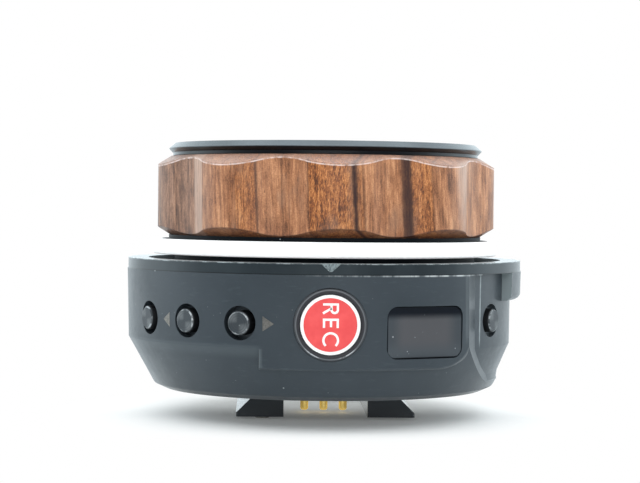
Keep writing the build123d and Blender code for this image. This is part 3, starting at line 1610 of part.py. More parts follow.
pieces = [
    housing.part, base_plate.part, dovetail_foot_left, dovetail_foot_right, bezel_ring.part,
    index_marker.part, bearing_carrier.part, bearing_inner_races, bearing_outer_races, bearing_balls.part,
    wheel_shaft.part, bearing_spacer.part, shaft_clip.part, encoder_magnet.part, wheel_hub.part,
    stop_pin.part, hub_screw.part, ring_magnets.part, marking_ring.part, wood_grip.part, top_cap.part,
    cap_seal.part, button_switches.part, button_boards.part, rec_surround.part, rec_button.part,
    rec_disc.part, rec_switch.part, rec_board.part, display_window.part, display_panel.part,
    display_board.part, control_bracket.part, main_board.part, board_components.part, radio_module.part,
    battery_tray.part, battery.part, usb_port.part, usb_board.part, usb_posts.part, pogo_block.part,
    pogo_barrels.part, lock_pin.part, board_screws.part,
]
for name, screws in (
    ("bezel_screws", bezel_screws),
    ("base_screws", base_screws),
    ("foot_screws", foot_screws),
):
    screws.label = name
    pieces.append(screws)
for name, button in buttons.items():
    button.label = name
    pieces.append(button)
for name, x in pogo_xs.items():
    plunger = pogo_plunger(x)
    plunger.label = name
    pieces.append(plunger)
    spring = coil_spring(
        x, pogo_y, pogo_collar_top_z, pogo_spring_top_z, pogo_spring_radius, pogo_spring_turns
    )
    spring.label = name.replace("pin", "spring")
    pieces.append(spring)
lock_spring = coil_spring(
    lock_x, lock_y, lock_top_z, lock_spring_top_z, lock_collar_radius - spring_gap, lock_spring_turns
)
lock_spring.label = "lock_spring"
pieces.append(lock_spring)

os.makedirs("parts", exist_ok=True)
for piece in pieces:
    export_step(piece, f"parts/{piece.label}.step")
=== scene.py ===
import json
from collections import namedtuple
from math import atan2, cos, radians, sin, sqrt

import bmesh
import bpy
from mathutils import Matrix, Vector


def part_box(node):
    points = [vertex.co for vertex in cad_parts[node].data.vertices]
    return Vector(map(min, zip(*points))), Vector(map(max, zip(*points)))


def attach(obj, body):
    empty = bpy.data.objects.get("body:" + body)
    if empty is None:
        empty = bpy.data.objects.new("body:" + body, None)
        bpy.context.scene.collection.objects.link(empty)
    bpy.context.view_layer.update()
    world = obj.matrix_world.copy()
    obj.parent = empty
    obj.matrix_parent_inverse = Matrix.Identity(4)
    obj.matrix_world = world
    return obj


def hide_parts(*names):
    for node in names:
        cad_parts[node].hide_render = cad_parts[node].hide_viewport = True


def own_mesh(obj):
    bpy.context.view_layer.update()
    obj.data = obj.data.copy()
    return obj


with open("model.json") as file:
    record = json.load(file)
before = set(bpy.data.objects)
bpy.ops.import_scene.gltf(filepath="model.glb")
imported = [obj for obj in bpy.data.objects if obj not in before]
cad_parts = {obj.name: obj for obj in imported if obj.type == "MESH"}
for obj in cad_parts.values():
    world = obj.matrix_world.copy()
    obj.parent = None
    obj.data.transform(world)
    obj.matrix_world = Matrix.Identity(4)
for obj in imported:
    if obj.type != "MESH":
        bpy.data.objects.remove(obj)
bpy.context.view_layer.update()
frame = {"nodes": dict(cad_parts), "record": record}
nodes = frame["nodes"]

MM = 0.001

# --- Places taken from the part, in millimetres ---


def box_mm(node):
    """Lowest and highest corner of a node, in millimetres."""
    low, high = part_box(node)
    return low / MM, high / MM


def middle_mm(node):
    """Middle of a node's box, in millimetres."""
    low, high = box_mm(node)
    return (low + high) / 2


pin_tip_z = box_mm("lock_pin")[0].z
foot_rear_y = box_mm("dovetail_foot_right")[1].y
disc_face_y = box_mm("rec_disc")[0].y
rec_middle = middle_mm("rec_disc")
window_middle = middle_mm("display_window")
grip_low, grip_high = box_mm("wood_grip")
rim_z = box_mm("housing")[1].z
bezel_low, bezel_high = box_mm("bezel_ring")
rim_radius = -bezel_low.x
button_z = middle_mm("mode_button").z

# Bearings round the wheel axis, from the front towards +X
display_bearing = radians(27.6)
button_bearings = {
    "mode_button": radians(-60.0),
    "back_button": radians(-42.5),
    "forward_button": radians(-25.0),
    "side_button": radians(57.7),
}


def outward(bearing):
    """The level direction away from the wheel axis."""
    return Vector((sin(bearing), -cos(bearing), 0.0))


def along_wall(bearing):
    """The level direction round the wall, towards larger bearings."""
    return Vector((cos(bearing), sin(bearing), 0.0))


# --- Camera numbers, also used to place the grain of the wood ---

image_width = 640
focal_pixels = 2000.0
sensor_width = 36.0
axis_column = 324.5  # image column of the wheel axis
camera_azimuth = -1.8  # degrees round from the front
camera_distance = 372.4
camera_height = 37.9
camera_pitch = 1.05  # degrees down
camera_yaw = 0.129
camera_roll = 0.6


# --- Helpers for node materials ---


class Graph:
    """A node tree with short calls for the nodes that the materials here use."""

    def __init__(self, tree):
        self.tree = tree
        tree.nodes.clear()

    def plug(self, socket, value):
        """Links a socket, or gives it a number, a vector or a colour of three levels."""
        if isinstance(value, bpy.types.NodeSocket):
            self.tree.links.new(value, socket)
        elif value is not None:
            socket.default_value = (*value, 1.0) if socket.type == "RGBA" else value

    def add(self, kind, settings=None, **values):
        node = self.tree.nodes.new(kind)
        for key, setting in (settings or {}).items():
            setattr(node, key, setting)
        for key, value in values.items():
            self.plug(node.inputs[key.replace("_", " ")], value)
        return node

    def math(self, operation, *values):
        """One operation, worked from left to right where there are more than two values."""
        result, *others = values
        for other in others or [None]:
            node = self.add("ShaderNodeMath", {"operation": operation})
            self.plug(node.inputs[0], result)
            self.plug(node.inputs[1], other)
            result = node.outputs[0]
        return result

    def plus(self, *values):
        return self.math("ADD", *values)

    def minus(self, first, second):
        return self.math("SUBTRACT", first, second)

    def times(self, *values):
        return self.math("MULTIPLY", *values)

    def most(self, *values):
        return self.math("MAXIMUM", *values)

    def magnitude(self, value):
        return self.math("ABSOLUTE", value)

    def vector(self, operation, first, second=None):
        node = self.add("ShaderNodeVectorMath", {"operation": operation})
        self.plug(node.inputs[0], first)
        self.plug(node.inputs["Scale" if operation == "SCALE" else 1], second)
        number = operation in ("LENGTH", "DOT_PRODUCT", "DISTANCE")
        return node.outputs["Value" if number else "Vector"]

    def dot(self, vector, direction):
        return self.vector("DOT_PRODUCT", vector, tuple(direction))

    def length(self, x, y, z=0.0):
        return self.vector("LENGTH", self.join(x, y, z))

    def mix(self, factor, first, second):
        """A colour between two others."""
        node = self.add("ShaderNodeMix", {"data_type": "RGBA"})
        self.plug(node.inputs[0], factor)
        self.plug(node.inputs[6], first)
        self.plug(node.inputs[7], second)
        return node.outputs[2]

    def blend(self, factor, first, second):
        """A number between two others."""
        node = self.add("ShaderNodeMix", {"data_type": "FLOAT"})
        self.plug(node.inputs[0], factor)
        self.plug(node.inputs[2], first)
        self.plug(node.inputs[3], second)
        return node.outputs[0]

    def span(self, value, low, high, to_low=0.0, to_high=1.0, smooth=True):
        """Map Range: value from low..high to to_low..to_high, clamped."""
        settings = {"interpolation_type": "SMOOTHSTEP" if smooth else "LINEAR"}
        node = self.add("ShaderNodeMapRange", settings, Value=value, From_Min=low, From_Max=high,
                        To_Min=to_low, To_Max=to_high)
        return node.outputs[0]

    def near(self, value, outer, inner, strength=1.0):
        """Nothing where a value is farther from zero than outer, full where it is nearer than inner."""
        return self.span(self.magnitude(value), outer, inner, 0.0, strength)

    def clouded(self, noise, dark, light, low=0.3, high=0.7):
        """A colour that follows a noise from dark to light."""
        return self.mix(self.span(noise, low, high), dark, light)

    def ramp(self, value, *stops):
        """Colour ramp; each stop is (place, colour)."""
        node = self.add("ShaderNodeValToRGB", Fac=value)
        elements = node.color_ramp.elements
        while len(elements) < len(stops):
            elements.new(1.0)
        for element, (place, colour) in zip(elements, stops):
            element.position = place
            element.color = (*colour, 1.0)
        return node.outputs["Color"]

    def millimetres(self):
        """The surface point in the part's frame, in millimetres; it rides with the piece."""
        return self.vector("SCALE", self.add("ShaderNodeTexCoord").outputs["Object"], 1 / MM)

    def split(self, vector):
        node = self.add("ShaderNodeSeparateXYZ", Vector=vector)
        return node.outputs["X"], node.outputs["Y"], node.outputs["Z"]

    def join(self, x, y, z):
        return self.add("ShaderNodeCombineXYZ", X=x, Y=y, Z=z).outputs["Vector"]

    def noise(self, vector, scale, detail=4.0, roughness=0.5, distortion=0.0):
        node = self.add("ShaderNodeTexNoise", Vector=vector, Scale=scale, Detail=detail,
                        Roughness=roughness, Distortion=distortion)
        return node.outputs["Fac"]

    def cells(self, vector, scale):
        """How far the nearest of many scattered points is."""
        return self.add("ShaderNodeTexVoronoi", Vector=vector, Scale=scale).outputs["Distance"]

    def bump(self, height, strength, depth):
        """A bump of this depth in millimetres."""
        node = self.add("ShaderNodeBump", Strength=strength, Distance=depth * MM, Height=height)
        return node.outputs["Normal"]

    def surface(self, **values):
        """A Principled shader to the output."""
        shader = self.add("ShaderNodeBsdfPrincipled", **values)
        self.add("ShaderNodeOutputMaterial", Surface=shader.outputs[0])


def new_material(name, colour):
    material = bpy.data.materials.new(name)
    material.use_nodes = True
    material.diffuse_color = (*colour, 1.0)
    return material, Graph(material.node_tree)


def dress(names, material):
    """Gives CAD nodes a material."""
    for name in names:
        mesh = nodes[name].data
        mesh.materials.clear()
        mesh.materials.append(material)


# --- Wood ---

# Colours from the darkest to the palest part of the figure
pale_wood = (
    (0.28, (0.120, 0.046, 0.022)),
    (0.42, (0.300, 0.120, 0.054)),
    (0.55, (0.445, 0.190, 0.087)),
    (0.72, (0.660, 0.325, 0.165)),
)
rich_wood = (
    (0.33, (0.060, 0.016, 0.006)),
    (0.43, (0.220, 0.060, 0.015)),
    (0.54, (0.380, 0.120, 0.028)),
    (0.66, (0.640, 0.260, 0.080)),
)
grey_wood = (
    (0.30, (0.070, 0.034, 0.022)),
    (0.50, (0.225, 0.112, 0.067)),
    (0.70, (0.440, 0.238, 0.148)),
)
cloud_brown = (0.300, 0.170, 0.110)
pink_highlight_wood = (0.600, 0.410, 0.320)
dark_wood = (0.070, 0.028, 0.022)
line_brown = (0.030, 0.011, 0.010)
streak_brown = (0.110, 0.040, 0.022)
pore_brown = (0.040, 0.014, 0.010)
shaded_bevel_wood = (0.060, 0.028, 0.021)
sheen_bevel_wood = (0.560, 0.400, 0.350)
arris_highlight_wood = (0.860, 0.700, 0.660)

# Dark growth lines on the front of the grip: image column at mid height, half width in mm, darkness
growth_lines = (
    (184.0, 0.35, 0.30),
    (223.0, 0.22, 0.35),
    (236.7, 0.25, 0.25),
    (254.8, 0.26, 0.72),
    (277.0, 0.20, 0.42),
    (307.4, 0.22, 0.55),
    (357.4, 0.40, 0.95),
    (365.0, 0.22, 0.50),
    (398.4, 0.22, 0.60),
    (401.0, 0.26, 0.75),
    (404.8, 0.42, 0.90),
    (407.8, 0.16, 0.55),
    (434.4, 0.18, 0.45),
    (457.0, 0.25, 0.20),
)
# Deeper and redder bands of the front: first and last column, strength
deep_bands = ((236.7, 254.8, 0.55), (307.4, 354.2, 0.85), (354.2, 365.0, 0.45), (399.0, 434.4, 0.70))
# Pinkish and dark bands of the front: first and last column, strength, colour. The pinkish ones are painted
# highlights of the side light on the lobes' flanks, the dark ones the wood's own figure
tinted_bands = (
    (190.0, 201.0, 0.75, pink_highlight_wood),
    (464.0, 475.0, 0.80, pink_highlight_wood),
    (396.8, 408.4, 0.72, dark_wood),
    (355.4, 360.0, 0.40, dark_wood),
    (176.0, 184.0, 0.30, dark_wood),
)
deep_edge = (0.25, 0.25)  # how far a band's edge fades out and in, in mm
tinted_edge = (0.4, 0.3)
grey_side_columns = (226.0, 178.0)  # where the grey left side begins and is full
grey_side_depth = (2.0, -6.0)  # the same from back to front, in mm
front_depth = (-12.0, -18.0)  # where the figure of the front begins and is full
grip_face_radius = 30.4
crossing_rounds = 20  # of the search for where an image column crosses the grip
growth_centre = Vector((-95.0, 30.0))
grain_tilt = 0.045  # how far the grain leans sideways for each mm of height
grip_middle_z = (grip_low.z + grip_high.z) / 2
bevel_slope = 0.611  # of the turned bevels, in mm of height for each mm of radius
bevel_radius = 30.47  # where the next two heights are measured
upper_bevel_drop = 1.29  # from the grip's top face down to the bevel
lower_bevel_rise = 0.98  # from the grip's bottom face up to the bevel
bevel_fade = (-0.30, -0.04)  # short of the bevel, in mm
arris_drop = 0.16  # of the painted highlight under the arris, below the upper bevel
arris_width = (0.17, 0.05)


def across_at(column):
    """Where the grip's front crosses an image column, in mm to the right of the wheel axis."""
    turn = radians(camera_azimuth)
    across = 0.0
    for _ in range(crossing_rounds):
        ahead = -sqrt(grip_face_radius**2 - across**2)
        depth = camera_distance + cos(turn) * ahead - sin(turn) * across
        across = ((column - axis_column) * depth / focal_pixels - sin(turn) * ahead) / cos(turn)
    return across


def growth_radius(column):
    """How far from the heart of the tree the grip's front is at an image column."""
    across = across_at(column)
    return (Vector((across, -sqrt(grip_face_radius**2 - across**2))) - growth_centre).length


def growth_band(g, ring, first, last, outside, inside):
    """Full between the growth rings of two image columns."""
    start, end = growth_radius(first), growth_radius(last)
    return g.times(g.span(ring, start - outside, start + inside),
                   g.span(ring, end + outside, end - inside))


def wood():
    """Figured walnut: growth rings, fibres, curly figure and pores, with painted shade on the lower bevel
    and painted highlights on the upper bevel, under its arris and on the lobes' flanks.
    """
    material, g = new_material("walnut", (0.35, 0.16, 0.08))
    place = g.millimetres()
    x, y, z = g.split(place)
    shifted = g.plus(x, g.times(g.minus(z, grip_middle_z), grain_tilt))

    def drawn(share, across=shifted):
        """The surface point with its height scaled, which draws a noise out along the grain."""
        return g.join(across, y, g.times(z, share))

    # Growth rings: one wavering a little for the lines, and one swaying far for the bands
    ring = g.vector("DISTANCE", g.join(shifted, y, 0.0), (*growth_centre, 0.0))
    sway = g.minus(g.noise(drawn(0.5, x), 0.16, 2.0), 0.5)
    waver = g.minus(g.noise(drawn(0.6, x), 0.9, 3.0), 0.5)
    jitter = g.minus(g.noise(place, 2.6, 2.0), 0.5)
    loose_ring = g.plus(ring, g.times(sway, 2.4))
    ring = g.plus(ring, g.plus(g.times(waver, 0.26), g.times(jitter, 0.16)))
    bands = g.noise(g.join(loose_ring, 0.0, 0.0), 0.30, 3.0, 0.6)
    # Fibres along the grain, and short slanted strokes of curly figure across it
    fibres = g.noise(drawn(0.05), 2.2, 6.0, 0.65)
    fine = g.noise(drawn(0.12), 8.0, 4.0, 0.6)
    along = g.plus(g.times(shifted, 0.55), g.times(z, 0.42))
    athwart = g.minus(g.times(z, 0.35), g.times(shifted, 1.9))
    curl = g.noise(g.join(along, athwart, g.times(y, 1.2)), 2.6, 4.0, 0.65, 0.4)
    mottle = g.noise(drawn(0.35), 0.55, 3.0, 0.6)
    speckle = g.noise(drawn(0.8, x), 5.5, 3.0, 0.7)
    # Deep bands at the front, and by chance elsewhere
    front = g.span(y, *front_depth)
    deep = g.times(g.span(bands, 0.52, 0.62), g.minus(0.75, g.times(front, 0.55)))
    for first, last, strength in deep_bands:
        band = g.times(growth_band(g, ring, first, last, *deep_edge), strength)
        deep = g.most(deep, g.times(band, front))
    tone = g.plus(g.times(fibres, 0.34), g.times(mottle, 0.30), g.times(fine, 0.14), g.times(speckle, 0.22))
    tone = g.span(tone, 0.40, 0.60, 0.27, 0.73, smooth=False)
    figure = g.plus(g.times(tone, 0.4), g.times(curl, 0.6))
    figure = g.span(figure, 0.38, 0.62, 0.27, 0.73, smooth=False)
    colour = g.mix(deep, g.ramp(tone, *pale_wood), g.ramp(figure, *rich_wood))
    # Grey-brown clouds, and a grey left side
    cloud = g.noise(drawn(0.4, x), 0.24, 3.0, 0.6)
    colour = g.mix(g.span(cloud, 0.52, 0.72, 0.0, 0.45), colour, cloud_brown)
    grey_start, grey_full = (growth_radius(column) for column in grey_side_columns)
    grey = g.times(g.span(y, *grey_side_depth), g.span(ring, grey_start, grey_full, 0.0, 0.95))
    colour = g.mix(grey, colour, g.ramp(tone, *grey_wood))
    # Painted highlights in pink, and dark bands of figure
    for first, last, strength, tint in tinted_bands:
        band = g.times(growth_band(g, ring, first, last, *tinted_edge), g.times(front, strength))
        colour = g.mix(g.times(band, g.span(fibres, 0.35, 0.60, 0.7, 1.0)), colour, tint)
    # Dark growth lines, broken along their length
    broken = g.noise(drawn(0.22), 1.3, 3.0, 0.6)
    for column, half_width, darkness in growth_lines:
        off = g.minus(ring, growth_radius(column))
        line = g.near(off, half_width * 1.25, half_width * 0.1, darkness)
        line = g.times(line, g.span(broken, 0.36, 0.56, 0.35 + 0.5 * darkness, 1.0))
        colour = g.mix(g.times(line, g.blend(front, 0.55, 1.0)), colour, line_brown)
    # Thin dark streaks, and pores as short dark dashes
    streaks = g.noise(drawn(0.03), 5.0, 2.0, 0.5)
    colour = g.mix(g.span(streaks, 0.62, 0.74, 0.0, 0.55), colour, streak_brown)
    pore = g.span(g.cells(drawn(0.22), 1.5), 0.13, 0.05)
    pore = g.times(pore, g.span(broken, 0.40, 0.60, 0.1, 1.0))
    colour = g.mix(g.times(pore, 0.75), colour, pore_brown)
    # Painted shade darkens the lower bevel; the upper bevel gets a paler painted sheen and a painted
    # highlight just under its arris
    slope = g.times(g.minus(g.length(x, y), bevel_radius), bevel_slope)
    above = g.plus(g.minus(z, grip_high.z - upper_bevel_drop), slope)
    below = g.minus(slope, g.minus(z, grip_low.z + lower_bevel_rise))
    colour = g.mix(g.span(below, *bevel_fade, 0.0, 0.66), colour, shaded_bevel_wood)
    # Painted sheen of the top light on the upper bevel, broken by speckle
    bevel_sheen = g.times(g.span(above, *bevel_fade, 0.0, 0.55), g.span(speckle, 0.38, 0.62, 0.45, 1.0))
    colour = g.mix(bevel_sheen, colour, sheen_bevel_wood)
    # Painted highlight in a thin line just under the upper bevel's arris, broken in patches
    arris = g.near(g.plus(above, arris_drop), *arris_width, 0.75)
    arris = g.times(arris, g.span(g.noise(place, 0.9, 3.0, 0.6), 0.36, 0.60, 0.15, 1.0))
    colour = g.mix(arris, colour, arris_highlight_wood)
    height = g.plus(g.minus(g.times(fibres, 0.5), g.times(pore, 0.8)), g.times(curl, 0.4))
    rough = g.blend(pore, g.span(fine, 0.3, 0.7, 0.36, 0.50), 0.75)
    g.surface(Base_Color=colour, Roughness=rough, Normal=g.bump(height, 0.7, 0.04),
              Specular_IOR_Level=0.35, Coat_Weight=0.10, Coat_Roughness=0.30)
    return material


# --- Black finishes ---

cool_tint = (0.88, 0.97, 1.0)


def satin_black(name, base, light, roughness, **values):
    """A fine satin finish: cloudy tone, fine grain and faint worn patches."""
    material, g = new_material(name, base)
    place = g.millimetres()
    grain = g.noise(place, 7.0, 3.0, 0.6)
    smear = g.noise(place, 0.5, 4.0, 0.6)
    colour = g.clouded(g.noise(place, 0.08, 3.0), base, light)
    colour = g.mix(g.times(g.span(grain, 0.35, 0.70), 0.4), colour, light)
    rough = g.plus(g.span(smear, 0.3, 0.7, roughness - 0.05, roughness + 0.05),
                   g.span(grain, 0.3, 0.7, -0.02, 0.02))
    g.surface(Base_Color=colour, Roughness=rough, Normal=g.bump(grain, 0.5, 0.006), **values)
    return material


housing_base = (0.0255, 0.034, 0.0425)
housing_light = (0.0355, 0.045, 0.0555)
housing_streak = (0.066, 0.082, 0.096)
chip_grey = (0.42, 0.44, 0.45)
rim_wear_grey = (0.52, 0.55, 0.56)
panel_edge_highlight_grey = (0.30, 0.33, 0.345)
highlight_line_grey = (0.33, 0.37, 0.385)
sheen_grey = (0.105, 0.125, 0.136)
lug_flank_sheen_grey = (0.225, 0.262, 0.275)

# Worn places of the housing, in mm: each pair is where a mask begins and where it is full
rim_wear_drop = (0.34, 0.12)  # below the rim
rim_wear_left = (-6.0, 2.0)
rim_wear_right = (27.4, 27.0)
rim_wear_growth = (-2.0, 21.0)  # from its least on the left to its most on the right
rim_wear_depth = (-15.0, -20.0)
front_half_depth = (-10.0, -15.0)
panel_edge_bearing = radians(41.7)
panel_slant = radians(19.5)  # from the front-to-back direction
panel_edge_offset = 0.10
panel_edge_width = (0.26, 0.10)
panel_edge_outside = (rim_radius - 0.75, rim_radius - 0.45)
panel_edge_heights = (13.5, 16.0)
highlight_line_bearing = radians(51.2)
highlight_line_width = (0.24, 0.08)
highlight_line_heights = (12.6, 15.5)
highlight_line_inside = (35.2, 34.9)
highlight_line_right = (20.0, 22.5)
knee_lower = (11.4, 13.0)
knee_upper = (14.2, 13.7)
knee_left = (-11.0, -13.0)
jog_bearing = radians(-19.1)
jog_width = (0.60, 0.10)
jog_depth = (-20.0, -25.0)
jog_upper = (13.6, 13.2)
jog_lower = (10.0, 10.4)
lug_flank_bearing = radians(66.0)
lug_flank_width = (0.10, 0.04)
lug_flank_outside = (34.4, 34.6)
lug_flank_depth = (-10.0, -12.0)
lug_flank_right = (28.0, 30.0)


def housing_finish():
    """Satin moulding with dust, a rim rubbed where hands and brackets touch, painted highlights on the
    panel's edge and down the recess, and painted sheen at the knee, the jog and the lug.
    """
    material, g = new_material("housing_black", housing_base)
    place = g.millimetres()
    x, y, z = g.split(place)
    radius = g.length(x, y)
    grain = g.noise(place, 7.0, 3.0, 0.6)
    smear = g.noise(place, 0.35, 4.0, 0.6)
    streaks = g.noise(g.join(g.times(x, 0.25), g.times(y, 0.25), z), 1.8, 4.0, 0.6)
    colour = g.clouded(g.noise(place, 0.07, 3.0), housing_base, housing_light)
    colour = g.mix(g.times(g.span(grain, 0.35, 0.70), 0.45), colour, housing_light)
    colour = g.mix(g.span(streaks, 0.55, 0.75, 0.0, 0.25), colour, housing_streak)
    # Dust and small nicks
    dust = g.span(g.cells(place, 0.42), 0.045, 0.02, 0.0, 0.35)
    fleck = g.span(g.cells(place, 0.16), 0.028, 0.012, 0.0, 0.7)
    colour = g.mix(g.most(dust, fleck), colour, chip_grey)
    # Rubbed upper edge: most of all on the right of the front
    patches = g.noise(g.join(x, y, 0.0), 0.55, 4.0, 0.7)
    stretch = g.times(g.span(x, *rim_wear_left), g.span(x, *rim_wear_right),
                      g.span(y, *rim_wear_depth), g.span(x, *rim_wear_growth, 0.28, 1.0))
    worn = g.times(stretch, g.span(patches, 0.38, 0.60, 0.12, 0.95))
    nicks = g.times(g.span(g.noise(place, 1.1, 2.0), 0.66, 0.72), g.span(patches, 0.45, 0.60))
    rim_wear = g.times(g.span(g.minus(rim_z, z), *rim_wear_drop), g.most(worn, g.times(nicks, 0.8)))
    colour = g.mix(rim_wear, colour, rim_wear_grey)
    # Faint painted highlight on the edge between the front and the recess
    start = outward(panel_edge_bearing) * rim_radius
    across = Vector((cos(panel_slant), -sin(panel_slant), 0.0))
    off = g.minus(g.dot(place, across), start.dot(across))
    edge = g.times(g.near(g.plus(off, panel_edge_offset), *panel_edge_width),
                   g.span(radius, *panel_edge_outside), g.span(z, *panel_edge_heights),
                   g.span(y, *front_half_depth), 0.12)
    colour = g.mix(edge, colour, panel_edge_highlight_grey)
    # Painted highlight line down the recess
    line_highlight = g.times(g.near(g.dot(place, along_wall(highlight_line_bearing)), *highlight_line_width),
                  g.span(z, *highlight_line_heights), g.span(radius, *highlight_line_inside),
                  g.span(y, *front_half_depth), g.span(x, *highlight_line_right),
                  g.span(g.noise(place, 0.6, 2.0), 0.3, 0.6, 0.45, 0.90))
    colour = g.mix(line_highlight, colour, highlight_line_grey)
    # Painted sheen along the knee and down the jog
    knee = g.times(g.span(z, *knee_lower), g.span(z, *knee_upper), g.span(x, *knee_left))
    jog = g.times(g.near(g.dot(place, along_wall(jog_bearing)), *jog_width),
                  g.span(y, *jog_depth), g.span(z, *jog_upper), g.span(z, *jog_lower))
    colour = g.mix(g.most(g.times(knee, 0.25), g.times(jog, 0.45)), colour, sheen_grey)
    # Painted sheen of side light on the front face of the lug
    flank_sheen = g.times(g.near(g.dot(place, along_wall(lug_flank_bearing)), *lug_flank_width),
                    g.span(radius, *lug_flank_outside), g.span(y, *lug_flank_depth),
                    g.span(x, *lug_flank_right))
    colour = g.mix(flank_sheen, colour, lug_flank_sheen_grey)
    rough = g.plus(g.span(smear, 0.3, 0.7, 0.40, 0.50), g.span(grain, 0.3, 0.7, -0.02, 0.02))
    rough = g.blend(g.most(rim_wear, edge, line_highlight), rough, 0.5)
    g.surface(Base_Color=colour, Roughness=rough, Normal=g.bump(grain, 0.6, 0.008), IOR=1.3,
              Specular_Tint=cool_tint, Coat_Weight=0.85, Coat_IOR=1.33, Coat_Roughness=0.26)
    return material


# A line of colour round turned metal: the heights where it starts and is full, the least radius, its colour
# and strength, and the least share of it where it is worn through
Line = namedtuple("Line", "start full inside tint strength least")
# Painted shade: near black round the cap's under edge, over the gap above the wood
cap_underside_shade = Line(48.05, 47.92, 0.0, (0.003, 0.003, 0.005), 1.0, 1.0)
bezel_seam = Line(rim_z + 0.20, rim_z + 0.08, 0.0, (0.003, 0.004, 0.005), 0.9, 1.0)
# Pale upper arris of the bezel: worn patches over a faint painted highlight all round
bezel_arris_wear_highlight = Line(bezel_high.z - 0.20, bezel_high.z - 0.06, rim_radius - 0.35,
                   (0.42, 0.47, 0.49), 0.8, 0.2)


def anodised(name, dark, light, roughness, metallic=0.15, coat=1.0, specular=0.5, lines=()):
    """Turned, black anodised aluminium: fine turning lines round the axis and a few pale nicks."""
    material, g = new_material(name, dark)
    place = g.millimetres()
    x, y, z = g.split(place)
    radius = g.length(x, y)
    turning = g.noise(g.join(radius, 0.0, z), 7.0, 4.0, 0.7)
    grain = g.noise(place, 11.0, 3.0)
    colour = g.clouded(g.noise(place, 0.15, 3.0), dark, light)
    colour = g.mix(g.times(g.span(turning, 0.4, 0.7), 0.4), colour, light)
    nick = g.span(g.cells(place, 0.22), 0.035, 0.012, 0.0, 0.8)
    colour = g.mix(nick, colour, (0.55, 0.57, 0.58))
    patches = g.span(g.noise(place, 0.7, 4.0, 0.7), 0.42, 0.62)
    for line in lines:
        share = g.times(g.span(z, line.start, line.full, 0.0, line.strength), g.most(patches, line.least),
                        g.span(radius, line.inside - 0.1, line.inside))
        colour = g.mix(share, colour, line.tint)
    height = g.plus(g.times(turning, 0.7), g.times(grain, 0.3))
    rough = g.span(turning, 0.3, 0.7, roughness - 0.05, roughness + 0.05)
    g.surface(Base_Color=colour, Metallic=metallic, Roughness=rough, Normal=g.bump(height, 0.35, 0.005),
              Specular_Tint=cool_tint, IOR=1.3, Specular_IOR_Level=specular, Coat_Weight=coat,
              Coat_IOR=1.3, Coat_Roughness=0.22)
    return material


def plain(name, base, light, roughness, metallic=0.0, scale=6.0, **values):
    """A moulded or machined finish with a slight grain."""
    material, g = new_material(name, base)
    place = g.millimetres()
    grain = g.noise(place, scale, 3.0, 0.6)
    colour = g.clouded(g.noise(place, scale / 12, 3.0), base, light)
    rough = g.span(grain, 0.3, 0.7, roughness - 0.04, roughness + 0.04)
    g.surface(Base_Color=colour, Roughness=rough, Metallic=metallic, Normal=g.bump(grain, 0.3, 0.004),
              **values)
    return material


# --- Controls ---

button_centre_inset = 1.0  # from the rim's radius to the middle of a button
button_face_radius = 2.08
button_rim_inset = 0.22
button_rim_width = (0.16, 0.05)
button_side = (button_face_radius - 0.14, button_face_radius - 0.03)
fan_across = 0.75  # direction of the painted highlight on a button's turned face
fan_down = 0.66


def turned_button(name, bearing):
    """A small black cap whose face is turned in rings, with painted highlights in two fans and round its
    edge.
    """
    material, g = new_material(name + "_turned", (0.05, 0.055, 0.06))
    place = g.millimetres()
    centre = outward(bearing) * (rim_radius - button_centre_inset) + Vector((0.0, 0.0, button_z))
    from_centre = g.vector("SUBTRACT", place, tuple(centre))
    off_axis = g.vector("LENGTH", g.vector("CROSS_PRODUCT", from_centre, tuple(outward(bearing))))
    rings = g.noise(g.join(off_axis, 0.0, 0.0), 7.0, 3.0, 0.7)
    grain = g.noise(place, 6.0, 3.0, 0.6)
    # Painted highlight: a turned face shines in two opposite fans
    sideways = g.dot(from_centre, along_wall(bearing) * fan_across - Vector((0.0, 0.0, fan_down)))
    fan_highlight = g.magnitude(g.math("DIVIDE", sideways, g.plus(off_axis, 0.15)))
    colour = g.mix(g.span(fan_highlight, 0.55, 1.0), (0.050, 0.058, 0.066), (0.155, 0.165, 0.172))
    colour = g.mix(g.span(rings, 0.42, 0.68, 0.0, 0.7), colour, (0.022, 0.025, 0.030))
    # Painted highlight round the face's rounded edge, broken in patches
    rim = g.near(g.minus(off_axis, button_face_radius - button_rim_inset), *button_rim_width)
    rim = g.times(rim, g.span(g.noise(place, 0.9, 2.0), 0.46, 0.62))
    colour = g.mix(g.times(rim, 0.75), colour, (0.50, 0.53, 0.55))
    spot = g.span(g.cells(place, 1.1), 0.14, 0.05, 0.0, 0.5)
    spot = g.times(spot, g.span(g.noise(place, 0.8, 2.0), 0.54, 0.62))
    colour = g.mix(spot, colour, (0.42, 0.43, 0.43))
    side = g.span(off_axis, *button_side)
    colour = g.mix(side, colour, (0.006, 0.007, 0.009))
    height = g.plus(g.times(rings, 0.8), g.times(grain, 0.2))
    rough = g.blend(side, g.span(grain, 0.3, 0.7, 0.28, 0.40), 0.6)
    g.surface(Base_Color=colour, Roughness=rough, Metallic=0.35, Normal=g.bump(height, 0.8, 0.02))
    return material


glass_half_width = 7.55
glass_half_height = 4.45
dark_reflection_band = 1.85  # painted dark reflection along the upper edge
glass_edge = (0.30, 0.10)  # black margin: where it begins and is full, inside the glass's edge
reflection_side = (4.0, 6.8)  # where the painted reflection turns greyer, to both sides
reflection_low = (-1.0, -4.0)  # and where it turns paler, below the middle
# Flecks on the window: across, rise and radius
window_flecks = (
    (-6.4, -0.65, 0.20),
    (-2.0, -0.8, 0.10),
    (-3.5, -3.2, 0.13),
    (6.2, -2.9, 0.14),
    (-3.2, -3.6, 0.08),
)


